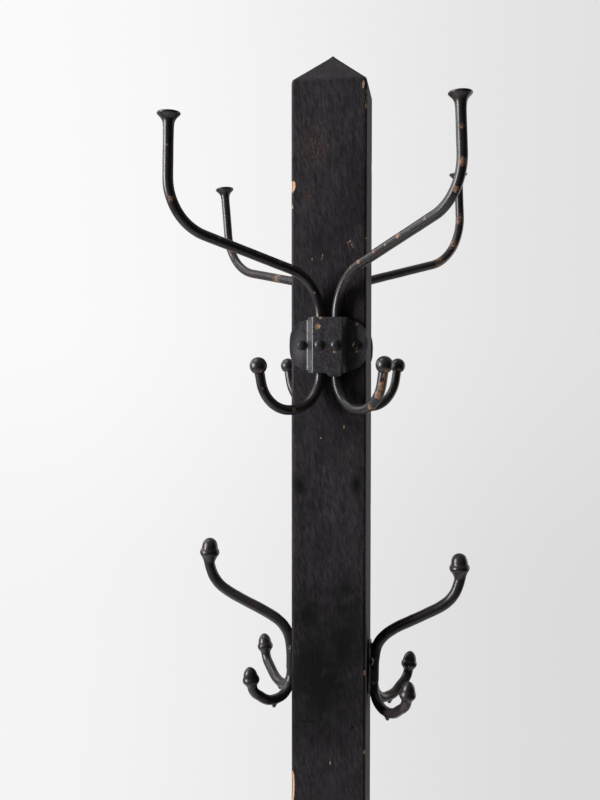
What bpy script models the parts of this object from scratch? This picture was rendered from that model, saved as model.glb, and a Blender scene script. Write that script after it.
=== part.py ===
"""Standing coat rack: a square post on crossed feet, with four bent rods and two cast triple hooks.

Metres, +Z up, the floor at z = 0 and the post's axis on the Z axis. The front of the rack faces -Y.
Every piece is its own object. Neighbouring faces keep GAP between them.
"""
import math

import bmesh
import bpy
from mathutils import Matrix, Vector

# Driving dimensions
GAP = 0.0003            # clearance between pieces that touch
FLOAT_GAP = 0.0006      # clearance round a shank in its hole
MERGE = 1e-6            # vertices closer than this are one

POST_SIDE = 0.089       # dressed square timber
FACE = POST_SIDE / 2
SHOULDER_Z = 1.715      # where the pyramid top begins
PYRAMID_RISE = 0.0377
ARRIS = 0.0018          # rounding of the long edges
TENON_SIDE = 0.044
TENON_LENGTH = 0.029

PAD_HEIGHT = 0.012
PAD_RADIUS = 0.025
PAD_RECESS = 0.0052     # depth of the screw's recess in the underside
PAD_REACH = 0.245       # pad centre from the post's axis
FOOT_HALF_LENGTH = 0.280
FOOT_WIDTH = 0.076
FOOT_HEIGHT = 0.060
FOOT_TOP_Z = PAD_HEIGHT + FOOT_HEIGHT
LAP_Z = PAD_HEIGHT + FOOT_HEIGHT / 2
TOE_HEIGHT = 0.026      # of a foot at its end
FOOT_SHOULDER = 0.195   # where a foot's top begins to ease down to its toe
FOUR_WAYS = {"right": 0.0, "back": math.pi / 2, "left": math.pi, "front": -math.pi / 2}

BRACE_THICKNESS = 0.022
BRACE_HEIGHT = 0.150
BRACE_REACH = 0.130
BRACE_TOE = 0.020       # thickness of both toes
BRACE_FLAT = 0.030      # length of the flat on both toes
TOE_SCREW = 0.014       # screw's distance from the end of a toe

# Fasteners. A head is (radius, height), and a bore is the hole that clears what passes through it.
SHANK = 0.0023          # radius of every wood screw's shank
SCREW_BORE = SHANK + FLOAT_GAP
RIVET_RADIUS = 0.0022
RIVET_BORE = RIVET_RADIUS + FLOAT_GAP
SLOT_WIDTH = 0.0016
EAR_HEAD, EAR_SCREW_LENGTH = (0.0056, 0.0042), 0.036
RIVET_HEAD = (0.0056, 0.0036)
CASTING_HEAD, CASTING_SCREW_LENGTH = (0.0050, 0.0038), 0.032
TOE_HEAD, TOE_SCREW_LENGTH = (0.0052, 0.0034), 0.048
PAD_HEAD, PAD_SCREW_LENGTH = (0.0052, 0.0028), 0.027
RECESS_RADIUS = 0.0062  # of the pad screw's recess
LAG_RADIUS = 0.0050
LAG_BORE = LAG_RADIUS + FLOAT_GAP
LAG_HEAD = (0.0092, 0.0065)
LAG_TIP_Z = 0.1150
LAG_POINT = 0.0120      # length of the bolt's taper
WASHER_RADIUS = 0.0140
WASHER_THICKNESS = 0.0020
COUNTERBORE_RADIUS = 0.0210
COUNTERBORE_Z = 0.0260

ROD_RADIUS = 0.0057
ROD_SPACING = 0.0095    # each rod's distance from the middle of its plate
PLATE_Z = SHOULDER_Z - 0.3100
BACK_PLATE_DROP = 0.0042
PLATE_THICKNESS = 0.0032
PLATE_HALF_WIDTH = 0.0460
EAR_HALF_HEIGHT = 0.0300
BOX_HALF_HEIGHT = 0.0325
BOX_TOP_HALF = 0.0180   # half width of the raised box on top
BOX_FOOT_HALF = 0.0243  # half width at the foot of its sloping walls
BOX_LIFT = 2 * ROD_RADIUS + 2 * GAP
EAR_SCREW = 0.0320      # ear screws, from the middle of the plate
SPIGOT_RADIUS = 0.0040
BALL_RADIUS = 0.00985
BALL_SEAT = 0.0076      # from the ball's centre to the flat that the rod's shoulder meets

CASTING_Z = SHOULDER_Z - 0.6850
RIGHT_CASTING_DROP = 0.0109
LEFT_CASTING_SHIFT = 0.0028
CASTING_SCREW_SIDE = 0.0150
CASTING_SCREW_Z = 0.0030
CASTING_PLATE = 0.0035
CASTING_HALF_WIDTH = 0.0220
CASTING_HALF_HEIGHT = 0.0330
CASTING_PLATE_DROP = 0.0080     # the back plate's centre, below the casting's own
ARM_RADIUS = 0.0066
PRONG_RADIUS = 0.0061
# Upper arm of a casting, as (outward, 0, up) corners, with the bends at the two inner ones
ARM_CORNERS = [(0.0066, 0, -0.0260), (0.0066, 0, 0.0285), (0.1117, 0, 0.0798), (0.1095, 0, 0.1349)]
ARM_BENDS = [0.036, 0.037]
PRONG_START = -0.0080   # where a prong leaves the spine
PRONG_TURN = 0.0420     # how far out a prong runs level before it rises
PRONG_BENDS = [0.026, 0.038, 0.018]
PRONG_LEAN = 0.0065     # how much further in an acorn's foot is than its tip
NUB_TIP, NUB_FOOT, NUB_HEIGHT = 0.0008, 0.0050, 0.0080

# The bent rods: out is the horizontal distance along an arm from the plate, up is measured from the
# post's shoulder. fork is where the arm's slope meets the vertical part, elbow where it turns upward.
# angles are the headings of the upper arm and of the hook, in degrees from the plate's normal.
RODS = {
    "front_left": {
        "side": -1, "face": -1, "angles": (45, 45), "fork": -0.2350, "fork_bend": 0.056,
        "elbow": (0.2035, -0.1820), "elbow_bend": 0.059, "tip": (0.2008, -0.0690),
        "hook_bottom": -0.3847, "hook_tip": (0.0880, -0.3338)},
    "front_right": {
        "side": 1, "face": -1, "angles": (45, 45), "fork": -0.2335, "fork_bend": 0.061,
        "elbow": (0.2010, -0.1630), "elbow_bend": 0.058, "tip": (0.1957, -0.0578),
        "hook_bottom": -0.3840, "hook_tip": (0.0838, -0.3325)},
    "back_left": {
        "side": -1, "face": 1, "angles": (50, 45), "fork": -0.2362, "fork_bend": 0.056,
        "elbow": (0.2005, -0.2005), "elbow_bend": 0.066, "tip": (0.2150, -0.0845),
        "hook_bottom": -0.3847, "hook_tip": (0.0880, -0.3354)},
    "back_right": {
        "side": 1, "face": 1, "angles": (45, 45), "fork": -0.2350, "fork_bend": 0.056,
        "elbow": (0.2110, -0.1860), "elbow_bend": 0.069, "tip": (0.2040, -0.0698),
        "hook_bottom": -0.3885, "hook_tip": (0.0922, -0.3354)},
}
HOOK_LEAN = 0.0105      # the U hook's open side leans outward by this much

# Prong tips of the cast hooks: (outward, up) from the casting's own centre; they differ by a few
# millimetres, as sand castings do.
PRONG_TIPS = {
    "left": {"front": (0.0484, -0.0072), "back": (0.0522, -0.0014)},
    "right": {"front": (0.0518, -0.0046), "back": (0.0503, -0.0052)},
}
PRONG_LATERAL = 0.0632
NUB_SHIFT = (0.0035, 0.0050)
PRONG_BOTTOM = {
    "left": {"front": -0.0572, "back": -0.0520},
    "right": {"front": -0.0548, "back": -0.0520},
}
PRONG_NECK = 0.0308     # where a prong turns up into its acorn, below the tip

# Ends of bars, as (distance back from the tip, radius)
FLARED_HEAD = [(0.0200, 0.0057), (0.0120, 0.0062), (0.0075, 0.0082), (0.0045, 0.0107), (0.0025, 0.0124),
               (0.0012, 0.0125), (0.0000, 0.0108)]
UPPER_ACORN = [(0.0285, 0.0074), (0.0262, 0.0083), (0.0235, 0.0097), (0.0205, 0.0118), (0.0178, 0.0124),
               (0.0150, 0.0116), (0.0126, 0.0101), (0.0085, 0.0097), (0.0045, 0.0081), (0.0015, 0.0052),
               (0.0000, 0.0020)]
PRONG_ACORN = [(0.0218, 0.0074), (0.0192, 0.0094), (0.0162, 0.0102), (0.0135, 0.0096), (0.0116, 0.0084),
               (0.0085, 0.0080), (0.0050, 0.0067), (0.0020, 0.0044), (0.0000, 0.0016)]

# Colours, roughness and metallic of each kind of piece
PAINTED_WOOD = ("painted_wood", (0.030, 0.028, 0.032), 0.50, 0.0)
PAINTED_IRON = ("painted_iron", (0.045, 0.043, 0.048), 0.42, 0.6)
BLACK_ROD = ("blackened_steel", (0.035, 0.033, 0.036), 0.35, 0.7)
CAST_IRON = ("cast_iron", (0.030, 0.028, 0.031), 0.38, 0.6)
SCREW_STEEL = ("screw_steel", (0.060, 0.057, 0.060), 0.40, 0.8)
BARE_STEEL = ("bare_steel", (0.300, 0.300, 0.310), 0.45, 1.0)
LEATHER = ("leather", (0.110, 0.060, 0.035), 0.75, 0.0)


def clear_scene():
    for obj in list(bpy.data.objects):
        bpy.data.objects.remove(obj, do_unlink=True)


def material(finish):
    name, colour, roughness, metallic = finish
    made = bpy.data.materials.get(name)
    if made:
        return made
    made = bpy.data.materials.new(name)
    made.use_nodes = True
    shader = made.node_tree.nodes["Principled BSDF"]
    shader.inputs["Base Color"].default_value = (*colour, 1.0)
    shader.inputs["Roughness"].default_value = roughness
    shader.inputs["Metallic"].default_value = metallic
    made.diffuse_color = (*colour, 1.0)
    return made


def add_object(name, mesh, finish=None, smooth=None):
    """Put a mesh in the scene; smooth is the angle in degrees above which an edge stays sharp."""
    obj = bpy.data.objects.new(name, mesh)
    bpy.context.scene.collection.objects.link(obj)
    if finish:
        mesh.materials.clear()
        mesh.materials.append(material(finish))
    if smooth:
        mesh.shade_smooth()
        mesh.set_sharp_from_angle(angle=math.radians(smooth))
    return obj


def mesh_from(bm, name):
    bmesh.ops.recalc_face_normals(bm, faces=bm.faces)
    mesh = bpy.data.meshes.new(name)
    bm.to_mesh(mesh)
    bm.free()
    return mesh


def evaluated_mesh(obj):
    """The mesh of an object with its curve bevel or its modifiers worked out."""
    bpy.context.view_layer.update()
    graph = bpy.context.evaluated_depsgraph_get()
    return bpy.data.meshes.new_from_object(obj.evaluated_get(graph))


def hide_cutter(obj):
    obj.hide_render = True
    obj.display_type = 'WIRE'
    return obj


def boolean(obj, other, operation):
    modifier = obj.modifiers.new(operation.lower(), 'BOOLEAN')
    modifier.operation = operation
    modifier.solver = 'EXACT'
    modifier.object = hide_cutter(other)


def block(bm, low, high):
    """Add a box to bm from its two corners."""
    low = Vector(low)
    high = Vector(high)
    place = Matrix.Translation((low + high) / 2) @ Matrix.Diagonal((*(high - low), 1.0))
    bmesh.ops.create_cube(bm, size=1.0, matrix=place)


def turned(bm, profile, steps):
    """Add a solid of revolution about Z to bm, from (radius, height) points that end on the axis."""
    verts = [bm.verts.new((radius, 0.0, height)) for radius, height in profile]
    edges = [bm.edges.new(pair) for pair in zip(verts, verts[1:])]
    bmesh.ops.spin(bm, geom=verts + edges, cent=(0, 0, 0), axis=(0, 0, 1), angle=2 * math.pi,
                   steps=steps, use_merge=True)
    bmesh.ops.remove_doubles(bm, verts=bm.verts, dist=MERGE)


def turned_object(name, profile, steps, finish, smooth=35):
    bm = bmesh.new()
    turned(bm, profile, steps)
    return add_object(name, mesh_from(bm, name), finish, smooth)


def prism(name, outline, depth, finish=None, smooth=None):
    """Extrude an (x, z) outline by depth along Y, centred on y = 0."""
    bm = bmesh.new()
    face = bm.faces.new([bm.verts.new((x, -depth / 2, z)) for x, z in outline])
    grown = bmesh.ops.extrude_face_region(bm, geom=[face])["geom"]
    moved = [item for item in grown if isinstance(item, bmesh.types.BMVert)]
    bmesh.ops.translate(bm, vec=(0, depth, 0), verts=moved)
    return add_object(name, mesh_from(bm, name), finish, smooth)


def aim(position, direction):
    """A placement at position whose +Z points along direction."""
    turn = Vector((0, 0, 1)).rotation_difference(Vector(direction))
    return Matrix.Translation(position) @ turn.to_matrix().to_4x4()


def holes(name, bores):
    """One cutter made of cylinders, from (position, direction, radius, depth); all start outside."""
    bm = bmesh.new()
    for position, direction, radius, depth in bores:
        place = aim(position, direction) @ Matrix.Translation((0, 0, depth / 2))
        bmesh.ops.create_cone(bm, cap_ends=True, segments=10, radius1=radius, radius2=radius,
                              depth=depth, matrix=place)
    return hide_cutter(add_object(name, mesh_from(bm, name)))


# --- Bent bars -------------------------------------------------------------------------------------

def bent_path(corners, bends, step=math.radians(13)):
    """Points along straight runs between corners, each inner corner rounded to its bend radius."""
    corners = [Vector(corner) for corner in corners]
    points = [corners[0]]
    for before, corner, after, bend in zip(corners, corners[1:], corners[2:], bends):
        into = (corner - before).normalized()
        out = (after - corner).normalized()
        turn = into.angle(out)
        start = corner - into * bend * math.tan(turn / 2)
        side = (out - into * into.dot(out)).normalized()
        centre = start + side * bend
        count = max(3, math.ceil(turn / step))
        for index in range(count + 1):
            angle = turn * index / count
            points.append(centre + into * bend * math.sin(angle) - side * bend * math.cos(angle))
    points.append(corners[-1])
    return points


def shaped_end(points, profile):
    """Stations (point, radius) along the last straight run, for a head or acorn at its tip."""
    tip = points[-1]
    back = (points[-2] - tip).normalized()
    return [(tip + back * distance, radius) for distance, radius in profile]


def bar_mesh(name, stations, resolution):
    """A round bar through (point, radius) stations, as a closed mesh."""
    curve = bpy.data.curves.new(name, 'CURVE')
    curve.dimensions = '3D'
    curve.twist_mode = 'MINIMUM'
    curve.bevel_depth = 1.0
    curve.bevel_resolution = resolution
    curve.use_fill_caps = True
    spline = curve.splines.new('POLY')
    spline.points.add(len(stations) - 1)
    for point, (place, radius) in zip(spline.points, stations):
        point.co = (*place, 1.0)
        point.radius = radius
    guide = bpy.data.objects.new(name, curve)
    bpy.context.scene.collection.objects.link(guide)
    mesh = evaluated_mesh(guide)
    bpy.data.objects.remove(guide, do_unlink=True)
    bm = bmesh.new()
    bm.from_mesh(mesh)
    bmesh.ops.remove_doubles(bm, verts=bm.verts, dist=MERGE)
    bmesh.ops.recalc_face_normals(bm, faces=bm.faces)
    bm.to_mesh(mesh)
    bm.free()
    return mesh


# --- Fasteners -------------------------------------------------------------------------------------

def screw_mesh(name, head, shank_radius, length, slot=True):
    """A round-head screw along +Z: the head's underside is at z = 0 and the shank runs to -length."""
    head_radius, head_height = head
    dome = [(head_radius * math.cos(angle), head_height * (0.2 + 0.8 * math.sin(angle)))
            for angle in (math.radians(step) for step in (0, 40))]
    profile = [(0.0, -length), (shank_radius, -length * 0.8), (shank_radius, 0.0),
               (head_radius * 0.97, 0.0), *dome, (0.0, head_height)]
    bm = bmesh.new()
    turned(bm, profile, 10)
    screw = add_object(name, mesh_from(bm, name))
    if slot:
        bm = bmesh.new()
        block(bm, (-head_radius * 1.2, -SLOT_WIDTH / 2, head_height * 0.45),
              (head_radius * 1.2, SLOT_WIDTH / 2, head_height * 1.5))
        boolean(screw, add_object(name + "_slot", mesh_from(bm, name + "_slot")), 'DIFFERENCE')
    mesh = evaluated_mesh(screw)
    bpy.data.objects.remove(screw, do_unlink=True)
    mesh.materials.clear()
    mesh.materials.append(material(SCREW_STEEL))
    mesh.shade_smooth()
    mesh.set_sharp_from_angle(angle=math.radians(35))
    return mesh


def place_fastener(name, mesh, position, direction):
    """One more copy of a fastener, sharing its mesh, with its head towards direction."""
    fastener = add_object(name, mesh)
    fastener.matrix_world = aim(position, direction)


# --- Post and foot ---------------------------------------------------------------------------------

def make_post():
    bm = bmesh.new()
    base_z = FOOT_TOP_Z + GAP
    block(bm, (-FACE, -FACE, base_z), (FACE, FACE, SHOULDER_Z))
    top = max(bm.faces, key=lambda face: face.calc_center_median().z)
    bottom = min(bm.faces, key=lambda face: face.calc_center_median().z)
    peak = bmesh.ops.poke(bm, faces=[top])["verts"][0]
    peak.co.z = SHOULDER_Z + PYRAMID_RISE
    bmesh.ops.inset_individual(bm, faces=[bottom], thickness=(POST_SIDE - TENON_SIDE) / 2,
                               use_even_offset=True)
    grown = bmesh.ops.extrude_face_region(bm, geom=[bottom])["geom"]
    moved = [item for item in grown if isinstance(item, bmesh.types.BMVert)]
    bmesh.ops.translate(bm, vec=(0, 0, -TENON_LENGTH), verts=moved)
    bmesh.ops.delete(bm, geom=[bottom], context='FACES_ONLY')
    arrises = [edge for edge in bm.edges
               if all(abs(abs(vert.co.x) - FACE) < 1e-5 and vert.co.z > base_z - 1e-5
                      for vert in edge.verts)
               and edge.calc_length() > POST_SIDE * 1.5]
    bmesh.ops.bevel(bm, geom=arrises, offset=ARRIS, segments=2, affect='EDGES', profile=0.5)
    post = add_object("post", mesh_from(bm, "post"), PAINTED_WOOD)
    boolean(post, holes("post_holes", post_bores()), 'DIFFERENCE')
    return post


def foot_outline(lap_above):
    """Side outline of a foot beam; the lap notch opens upward or downward."""
    bottom = PAD_HEIGHT
    notch = FOOT_WIDTH / 2 + GAP
    steps = 5
    outline = [(-FOOT_HALF_LENGTH, bottom)]
    if not lap_above:
        outline += [(-notch, bottom), (-notch, LAP_Z + GAP), (notch, LAP_Z + GAP), (notch, bottom)]
    outline += [(FOOT_HALF_LENGTH, bottom)]
    slope = []
    for index in range(steps + 1):
        share = index / steps
        drop = (1 - math.cos(math.pi * share)) / 2
        x = FOOT_HALF_LENGTH + (FOOT_SHOULDER - FOOT_HALF_LENGTH) * share
        slope.append((x, bottom + TOE_HEIGHT + (FOOT_HEIGHT - TOE_HEIGHT) * drop))
    outline += slope
    if lap_above:
        outline += [(notch, FOOT_TOP_Z), (notch, LAP_Z), (-notch, LAP_Z), (-notch, FOOT_TOP_Z)]
    outline += [(-x, z) for x, z in reversed(slope)]
    return outline


def make_feet():
    lower = prism("foot_beam_lower", foot_outline(True), FOOT_WIDTH, PAINTED_WOOD)
    upper = prism("foot_beam_upper", foot_outline(False), FOOT_WIDTH, PAINTED_WOOD)
    upper.rotation_euler = (0, 0, math.pi / 2)
    bm = bmesh.new()
    half = TENON_SIDE / 2 + GAP
    block(bm, (-half, -half, LAP_Z - 0.005), (half, half, FOOT_TOP_Z + 0.005))
    boolean(upper, add_object("mortise", mesh_from(bm, "mortise")), 'DIFFERENCE')
    for beam, turn in ((lower, 0.0), (upper, math.pi / 2)):
        sides = [Matrix.Rotation(turn + half_turn, 4, 'Z') for half_turn in (0.0, math.pi)]
        bores = []
        for side in sides:
            bores.append((side @ Vector((PAD_REACH, 0, 0)), (0, 0, 1), SCREW_BORE, 0.036))
            brace_screw = FACE + GAP + BRACE_REACH - TOE_SCREW
            bores.append((side @ Vector((brace_screw, 0, FOOT_TOP_Z + 0.01)), (0, 0, -1),
                          SCREW_BORE, 0.042))
        if beam is lower:
            bores.append(((0, 0, 0), (0, 0, 1), LAG_BORE, 0.060))
            bores.append(((0, 0, 0), (0, 0, 1), COUNTERBORE_RADIUS, COUNTERBORE_Z))
        # The counterbore and the bolt's hole share an axis, so each bore cuts by itself.
        for number, bore in enumerate(bores):
            boolean(beam, holes(f"{beam.name}_hole_{number}", [bore]), 'DIFFERENCE')


def make_braces():
    """Coved braces between the post and each foot, flat on both toes where the screws go."""
    steps = 6
    cove_x = BRACE_REACH - BRACE_FLAT - BRACE_TOE
    cove_z = BRACE_HEIGHT - BRACE_FLAT - BRACE_TOE
    outline = [(0, 0), (BRACE_REACH, 0), (BRACE_REACH, BRACE_TOE)]
    for index in range(steps + 1):
        angle = math.pi / 2 * index / steps
        outline.append((BRACE_TOE + cove_x * (1 - math.sin(angle)),
                        BRACE_TOE + cove_z * (1 - math.cos(angle))))
    outline += [(BRACE_TOE, BRACE_HEIGHT), (0, BRACE_HEIGHT)]
    base = FOOT_TOP_Z + GAP
    for name, turn in FOUR_WAYS.items():
        brace = prism("brace_" + name, outline, BRACE_THICKNESS, PAINTED_WOOD)
        side = Matrix.Rotation(turn, 4, 'Z')
        brace.matrix_world = side @ Matrix.Translation((FACE + GAP, 0, base))
        low = side @ Vector((FACE + GAP + BRACE_REACH - TOE_SCREW, 0, base - 0.01))
        high = side @ Vector((FACE - 0.01, 0, base + BRACE_HEIGHT - TOE_SCREW))
        out = side @ Vector((1, 0, 0))
        boolean(brace, holes(f"brace_{name}_holes", [(low, (0, 0, 1), SCREW_BORE, 0.05),
                                                     (high, out, SCREW_BORE, 0.05)]),
                'DIFFERENCE')


def make_pads():
    rounding = 0.0015
    profile = [(0.0, PAD_RECESS), (RECESS_RADIUS, PAD_RECESS), (RECESS_RADIUS, 0.0),
               (PAD_RADIUS - rounding, 0.0), (PAD_RADIUS, rounding), (PAD_RADIUS, PAD_HEIGHT - GAP),
               (0.0, PAD_HEIGHT - GAP)]
    for name, turn in FOUR_WAYS.items():
        pad = turned_object("foot_pad_" + name, profile, 16, LEATHER)
        pad.location = Matrix.Rotation(turn, 3, 'Z') @ Vector((PAD_REACH, 0, 0))
        centre = pad.location
        boolean(pad, holes(f"foot_pad_{name}_hole", [((centre.x, centre.y, -0.01), (0, 0, 1),
                                                      SCREW_BORE, 0.04)]), 'DIFFERENCE')


def make_foot_fasteners():
    pad_screw = screw_mesh("pad_screw", PAD_HEAD, SHANK, PAD_SCREW_LENGTH)
    toe_screw = screw_mesh("toe_screw", TOE_HEAD, SHANK, TOE_SCREW_LENGTH)
    base = FOOT_TOP_Z + GAP
    for name, turn in FOUR_WAYS.items():
        side = Matrix.Rotation(turn, 4, 'Z')
        under = side @ Vector((PAD_REACH, 0, PAD_RECESS - GAP))
        high = side @ Vector((FACE + 2 * GAP + BRACE_TOE, 0, base + BRACE_HEIGHT - TOE_SCREW))
        low = side @ Vector((FACE + GAP + BRACE_REACH - TOE_SCREW, 0, base + BRACE_TOE + GAP))
        place_fastener("foot_pad_screw_" + name, pad_screw, under, (0, 0, -1))
        place_fastener("brace_post_screw_" + name, toe_screw, high, side @ Vector((1, 0, 0)))
        place_fastener("brace_foot_screw_" + name, toe_screw, low, (0, 0, 1))

    washer_top = COUNTERBORE_Z - GAP
    washer_bottom = washer_top - WASHER_THICKNESS
    bm = bmesh.new()
    ring = [(LAG_BORE, washer_bottom), (WASHER_RADIUS, washer_bottom), (WASHER_RADIUS, washer_top),
            (LAG_BORE, washer_top), (LAG_BORE, washer_bottom)]
    turned(bm, ring, 16)
    add_object("post_lag_washer", mesh_from(bm, "post_lag_washer"), BARE_STEEL, 35)

    head_top = washer_bottom - GAP
    head_radius, head_height = LAG_HEAD
    bm = bmesh.new()
    turned(bm, [(0.0, head_top - head_height), (head_radius, head_top - head_height),
                (head_radius, head_top), (0.0, head_top)], 6)
    bolt = add_object("post_lag_bolt", mesh_from(bm, "post_lag_bolt"), BARE_STEEL)
    bm = bmesh.new()
    turned(bm, [(0.0, head_top - head_height / 2), (LAG_RADIUS, head_top - head_height / 2),
                (LAG_RADIUS, LAG_TIP_Z - LAG_POINT), (0.0, LAG_TIP_Z)], 10)
    boolean(bolt, add_object("post_lag_shank", mesh_from(bm, "post_lag_shank"), BARE_STEEL), 'UNION')


# --- Hook plates with their rods ------------------------------------------------------------------

def plate_stations():
    """Across the plate: (lateral, lift of the back surface, slope share, half height)."""
    ear_steps = 7
    stations = []
    for index in range(ear_steps + 1):
        share = math.sin(math.pi / 2 * index / ear_steps)
        x = BOX_FOOT_HALF + (PLATE_HALF_WIDTH - BOX_FOOT_HALF) * share
        reach = (x - 0.014) / (PLATE_HALF_WIDTH - 0.014)
        half = EAR_HALF_HEIGHT * max(0.0, 1 - reach ** 2.8) ** (1 / 2.8)
        stations.append((x, 0.0, max(half, 0.004)))
    stations.reverse()
    stations.append((BOX_FOOT_HALF - 0.0006, 0.0, BOX_HALF_HEIGHT))
    stations.append((BOX_TOP_HALF + 0.0004, BOX_LIFT - 0.0009, BOX_HALF_HEIGHT))
    stations.append((BOX_TOP_HALF - 0.0010, BOX_LIFT, BOX_HALF_HEIGHT))
    mirrored = [(-x, lift, half) for x, lift, half in reversed(stations)]
    return stations + mirrored


def make_plate(name, face, centre_z):
    """A pressed plate, lofted from one rectangle per station and bridged to the next."""
    bm = bmesh.new()
    rings = []
    wall = PLATE_THICKNESS / 2
    for x, lift, half in plate_stations():
        inner = x
        outer = x
        if lift < BOX_LIFT * 0.5 and half == BOX_HALF_HEIGHT:
            inner = x - math.copysign(PLATE_THICKNESS * 0.9, x)
            outer = x
        if lift >= BOX_LIFT * 0.5:
            inner = x - math.copysign(wall * 1.2, x)
        near = lift + GAP
        far = lift + GAP + PLATE_THICKNESS
        corners = ((inner, -near, -half), (outer, -far, -half), (outer, -far, half), (inner, -near, half))
        rings.append([bm.verts.new(corner) for corner in corners])
    for ring, following in zip(rings, rings[1:]):
        for index in range(4):
            after = (index + 1) % 4
            bm.faces.new((ring[index], ring[after], following[after], following[index]))
    bm.faces.new(rings[0])
    bm.faces.new(list(reversed(rings[-1])))
    plate = add_object(name + "_hook_plate", mesh_from(bm, name + "_hook_plate"), PAINTED_IRON, 40)
    plate.matrix_world = plate_place(face, centre_z)
    out = Vector((0, face, 0))
    bores = []
    for side in (-1, 1):
        bores.append((Vector((side * EAR_SCREW, face * (FACE - 0.01), centre_z)), out,
                      SCREW_BORE, 0.05))
        bores.append((Vector((side * ROD_SPACING, face * (FACE - 0.01), centre_z)), out,
                      RIVET_BORE, 0.05))
    boolean(plate, holes(name + "_plate_holes", bores), 'DIFFERENCE')


def plate_place(face, centre_z):
    """Plates are made for the front (-Y); the back one is the same piece turned round."""
    turn = 0.0 if face < 0 else math.pi
    side = Matrix.Rotation(turn, 4, 'Z')
    return Matrix.Translation((0, 0, centre_z)) @ side @ Matrix.Translation((0, -FACE, 0))


def make_plate_fasteners(name, face, centre_z):
    out = Vector((0, face, 0))
    ear = FACE + PLATE_THICKNESS + 2 * GAP
    screw = screw_mesh("ear_screw", EAR_HEAD, SHANK, EAR_SCREW_LENGTH)
    box = FACE + BOX_LIFT + PLATE_THICKNESS + 2 * GAP
    rivet = screw_mesh("rivet", RIVET_HEAD, RIVET_RADIUS, box - FACE - GAP, slot=False)
    for hand, side in (("left", -1), ("right", 1)):
        place_fastener(f"{name}_plate_screw_{hand}", screw,
                       Vector((side * EAR_SCREW, face * ear, centre_z)), out)
        place_fastener(f"{name}_plate_rivet_{hand}", rivet,
                       Vector((side * ROD_SPACING, face * box, centre_z)), out)


def make_rod(name, shape):
    """One bent rod: flared head, long arm, straight run under the plate, U hook and ball."""
    side = shape["side"]
    face = shape["face"]
    axis = Vector((side * ROD_SPACING, face * (FACE + GAP + ROD_RADIUS), SHOULDER_Z))
    headings = []
    for degrees in shape["angles"]:
        angle = math.radians(degrees)
        headings.append(Matrix.Rotation(math.atan2(face * math.cos(angle), side * math.sin(angle)), 4, 'Z'))
    middle = PLATE_Z - SHOULDER_Z
    tip_out, tip_up = shape["tip"]
    elbow_out, elbow_up = shape["elbow"]
    arm = bent_path([(0, 0, middle), (0, 0, shape["fork"]), (elbow_out, 0, elbow_up), (tip_out, 0, tip_up)],
                    [shape["fork_bend"], shape["elbow_bend"]])
    hook_out, hook_up = shape["hook_tip"]
    turn = hook_out - HOOK_LEAN
    bottom = shape["hook_bottom"]
    hook = bent_path([(0, 0, middle), (0, 0, bottom), (turn, 0, bottom), (hook_out, 0, hook_up)],
                     [turn / 1.87, turn / 1.89])
    arm = [headings[0] @ point for point in arm]
    hook = [headings[1] @ point for point in hook]
    # The lower end steps down to a spigot inside the ball.
    lower = [(point, ROD_RADIUS) for point in hook[1:-1]]
    lower += shaped_end(hook, [(BALL_SEAT + 0.0004, ROD_RADIUS), (BALL_SEAT + GAP, SPIGOT_RADIUS),
                               (0.0024, SPIGOT_RADIUS)])
    stations = list(reversed(lower))
    stations += [(point, ROD_RADIUS) for point in arm[1:-1]]
    stations += shaped_end(arm, FLARED_HEAD)
    rod = add_object(name + "_rod", bar_mesh(name + "_rod", stations, 3), BLACK_ROD, 40)
    rod.location = axis

    rivet_z = PLATE_Z - (BACK_PLATE_DROP if face > 0 else 0.0)
    start = Vector((axis.x, face * (FACE - 0.01), rivet_z))
    boolean(rod, holes(name + "_rivet_hole", [(start, (0, face, 0), RIVET_BORE, 0.05)]),
            'DIFFERENCE')

    ball = turned_object(name + "_ball_knob", ball_profile(), 14, BLACK_ROD)
    ball.matrix_world = aim(axis + hook[-1], hook[-1] - hook[-2])


def ball_profile():
    """A ball with a flat seat and a blind hole for the rod's spigot."""
    hole = SPIGOT_RADIUS + GAP
    seat_radius = math.sqrt(BALL_RADIUS ** 2 - BALL_SEAT ** 2)
    profile = [(0.0, -0.0020), (hole, -0.0020), (hole, -BALL_SEAT), (seat_radius, -BALL_SEAT)]
    for degrees in range(-30, 81, 22):
        angle = math.radians(degrees)
        profile.append((BALL_RADIUS * math.cos(angle), BALL_RADIUS * math.sin(angle)))
    profile.append((0.0, BALL_RADIUS))
    return profile


# --- Cast triple hooks ------------------------------------------------------------------------------

def casting_bars(name, side):
    """Stations of the upper arm and the two prongs; +X points away from the post's side."""
    arm = bent_path(ARM_CORNERS, ARM_BENDS)
    bars = {"arm": [(point, ARM_RADIUS) for point in arm[:-1]] + shaped_end(arm, UPPER_ACORN)}
    root = Vector((ARM_RADIUS, 0, 0))
    for hand, lateral in (("front", -side * PRONG_LATERAL), ("back", side * PRONG_LATERAL)):
        out, up = PRONG_TIPS[name][hand]
        across = Vector((out - root.x, lateral, 0))
        reach = across.length
        heading = across.normalized()
        bottom = PRONG_BOTTOM[name][hand]
        spots = [(0.0, PRONG_START), (0.0, bottom), (PRONG_TURN, bottom),
                 (reach - PRONG_LEAN, up - PRONG_NECK), (reach, up)]
        path = bent_path([root + heading * along + Vector((0, 0, height)) for along, height in spots],
                         PRONG_BENDS)
        bars["prong_" + hand] = ([(point, PRONG_RADIUS) for point in path[:-1]]
                                 + shaped_end(path, PRONG_ACORN))
    return bars


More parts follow.
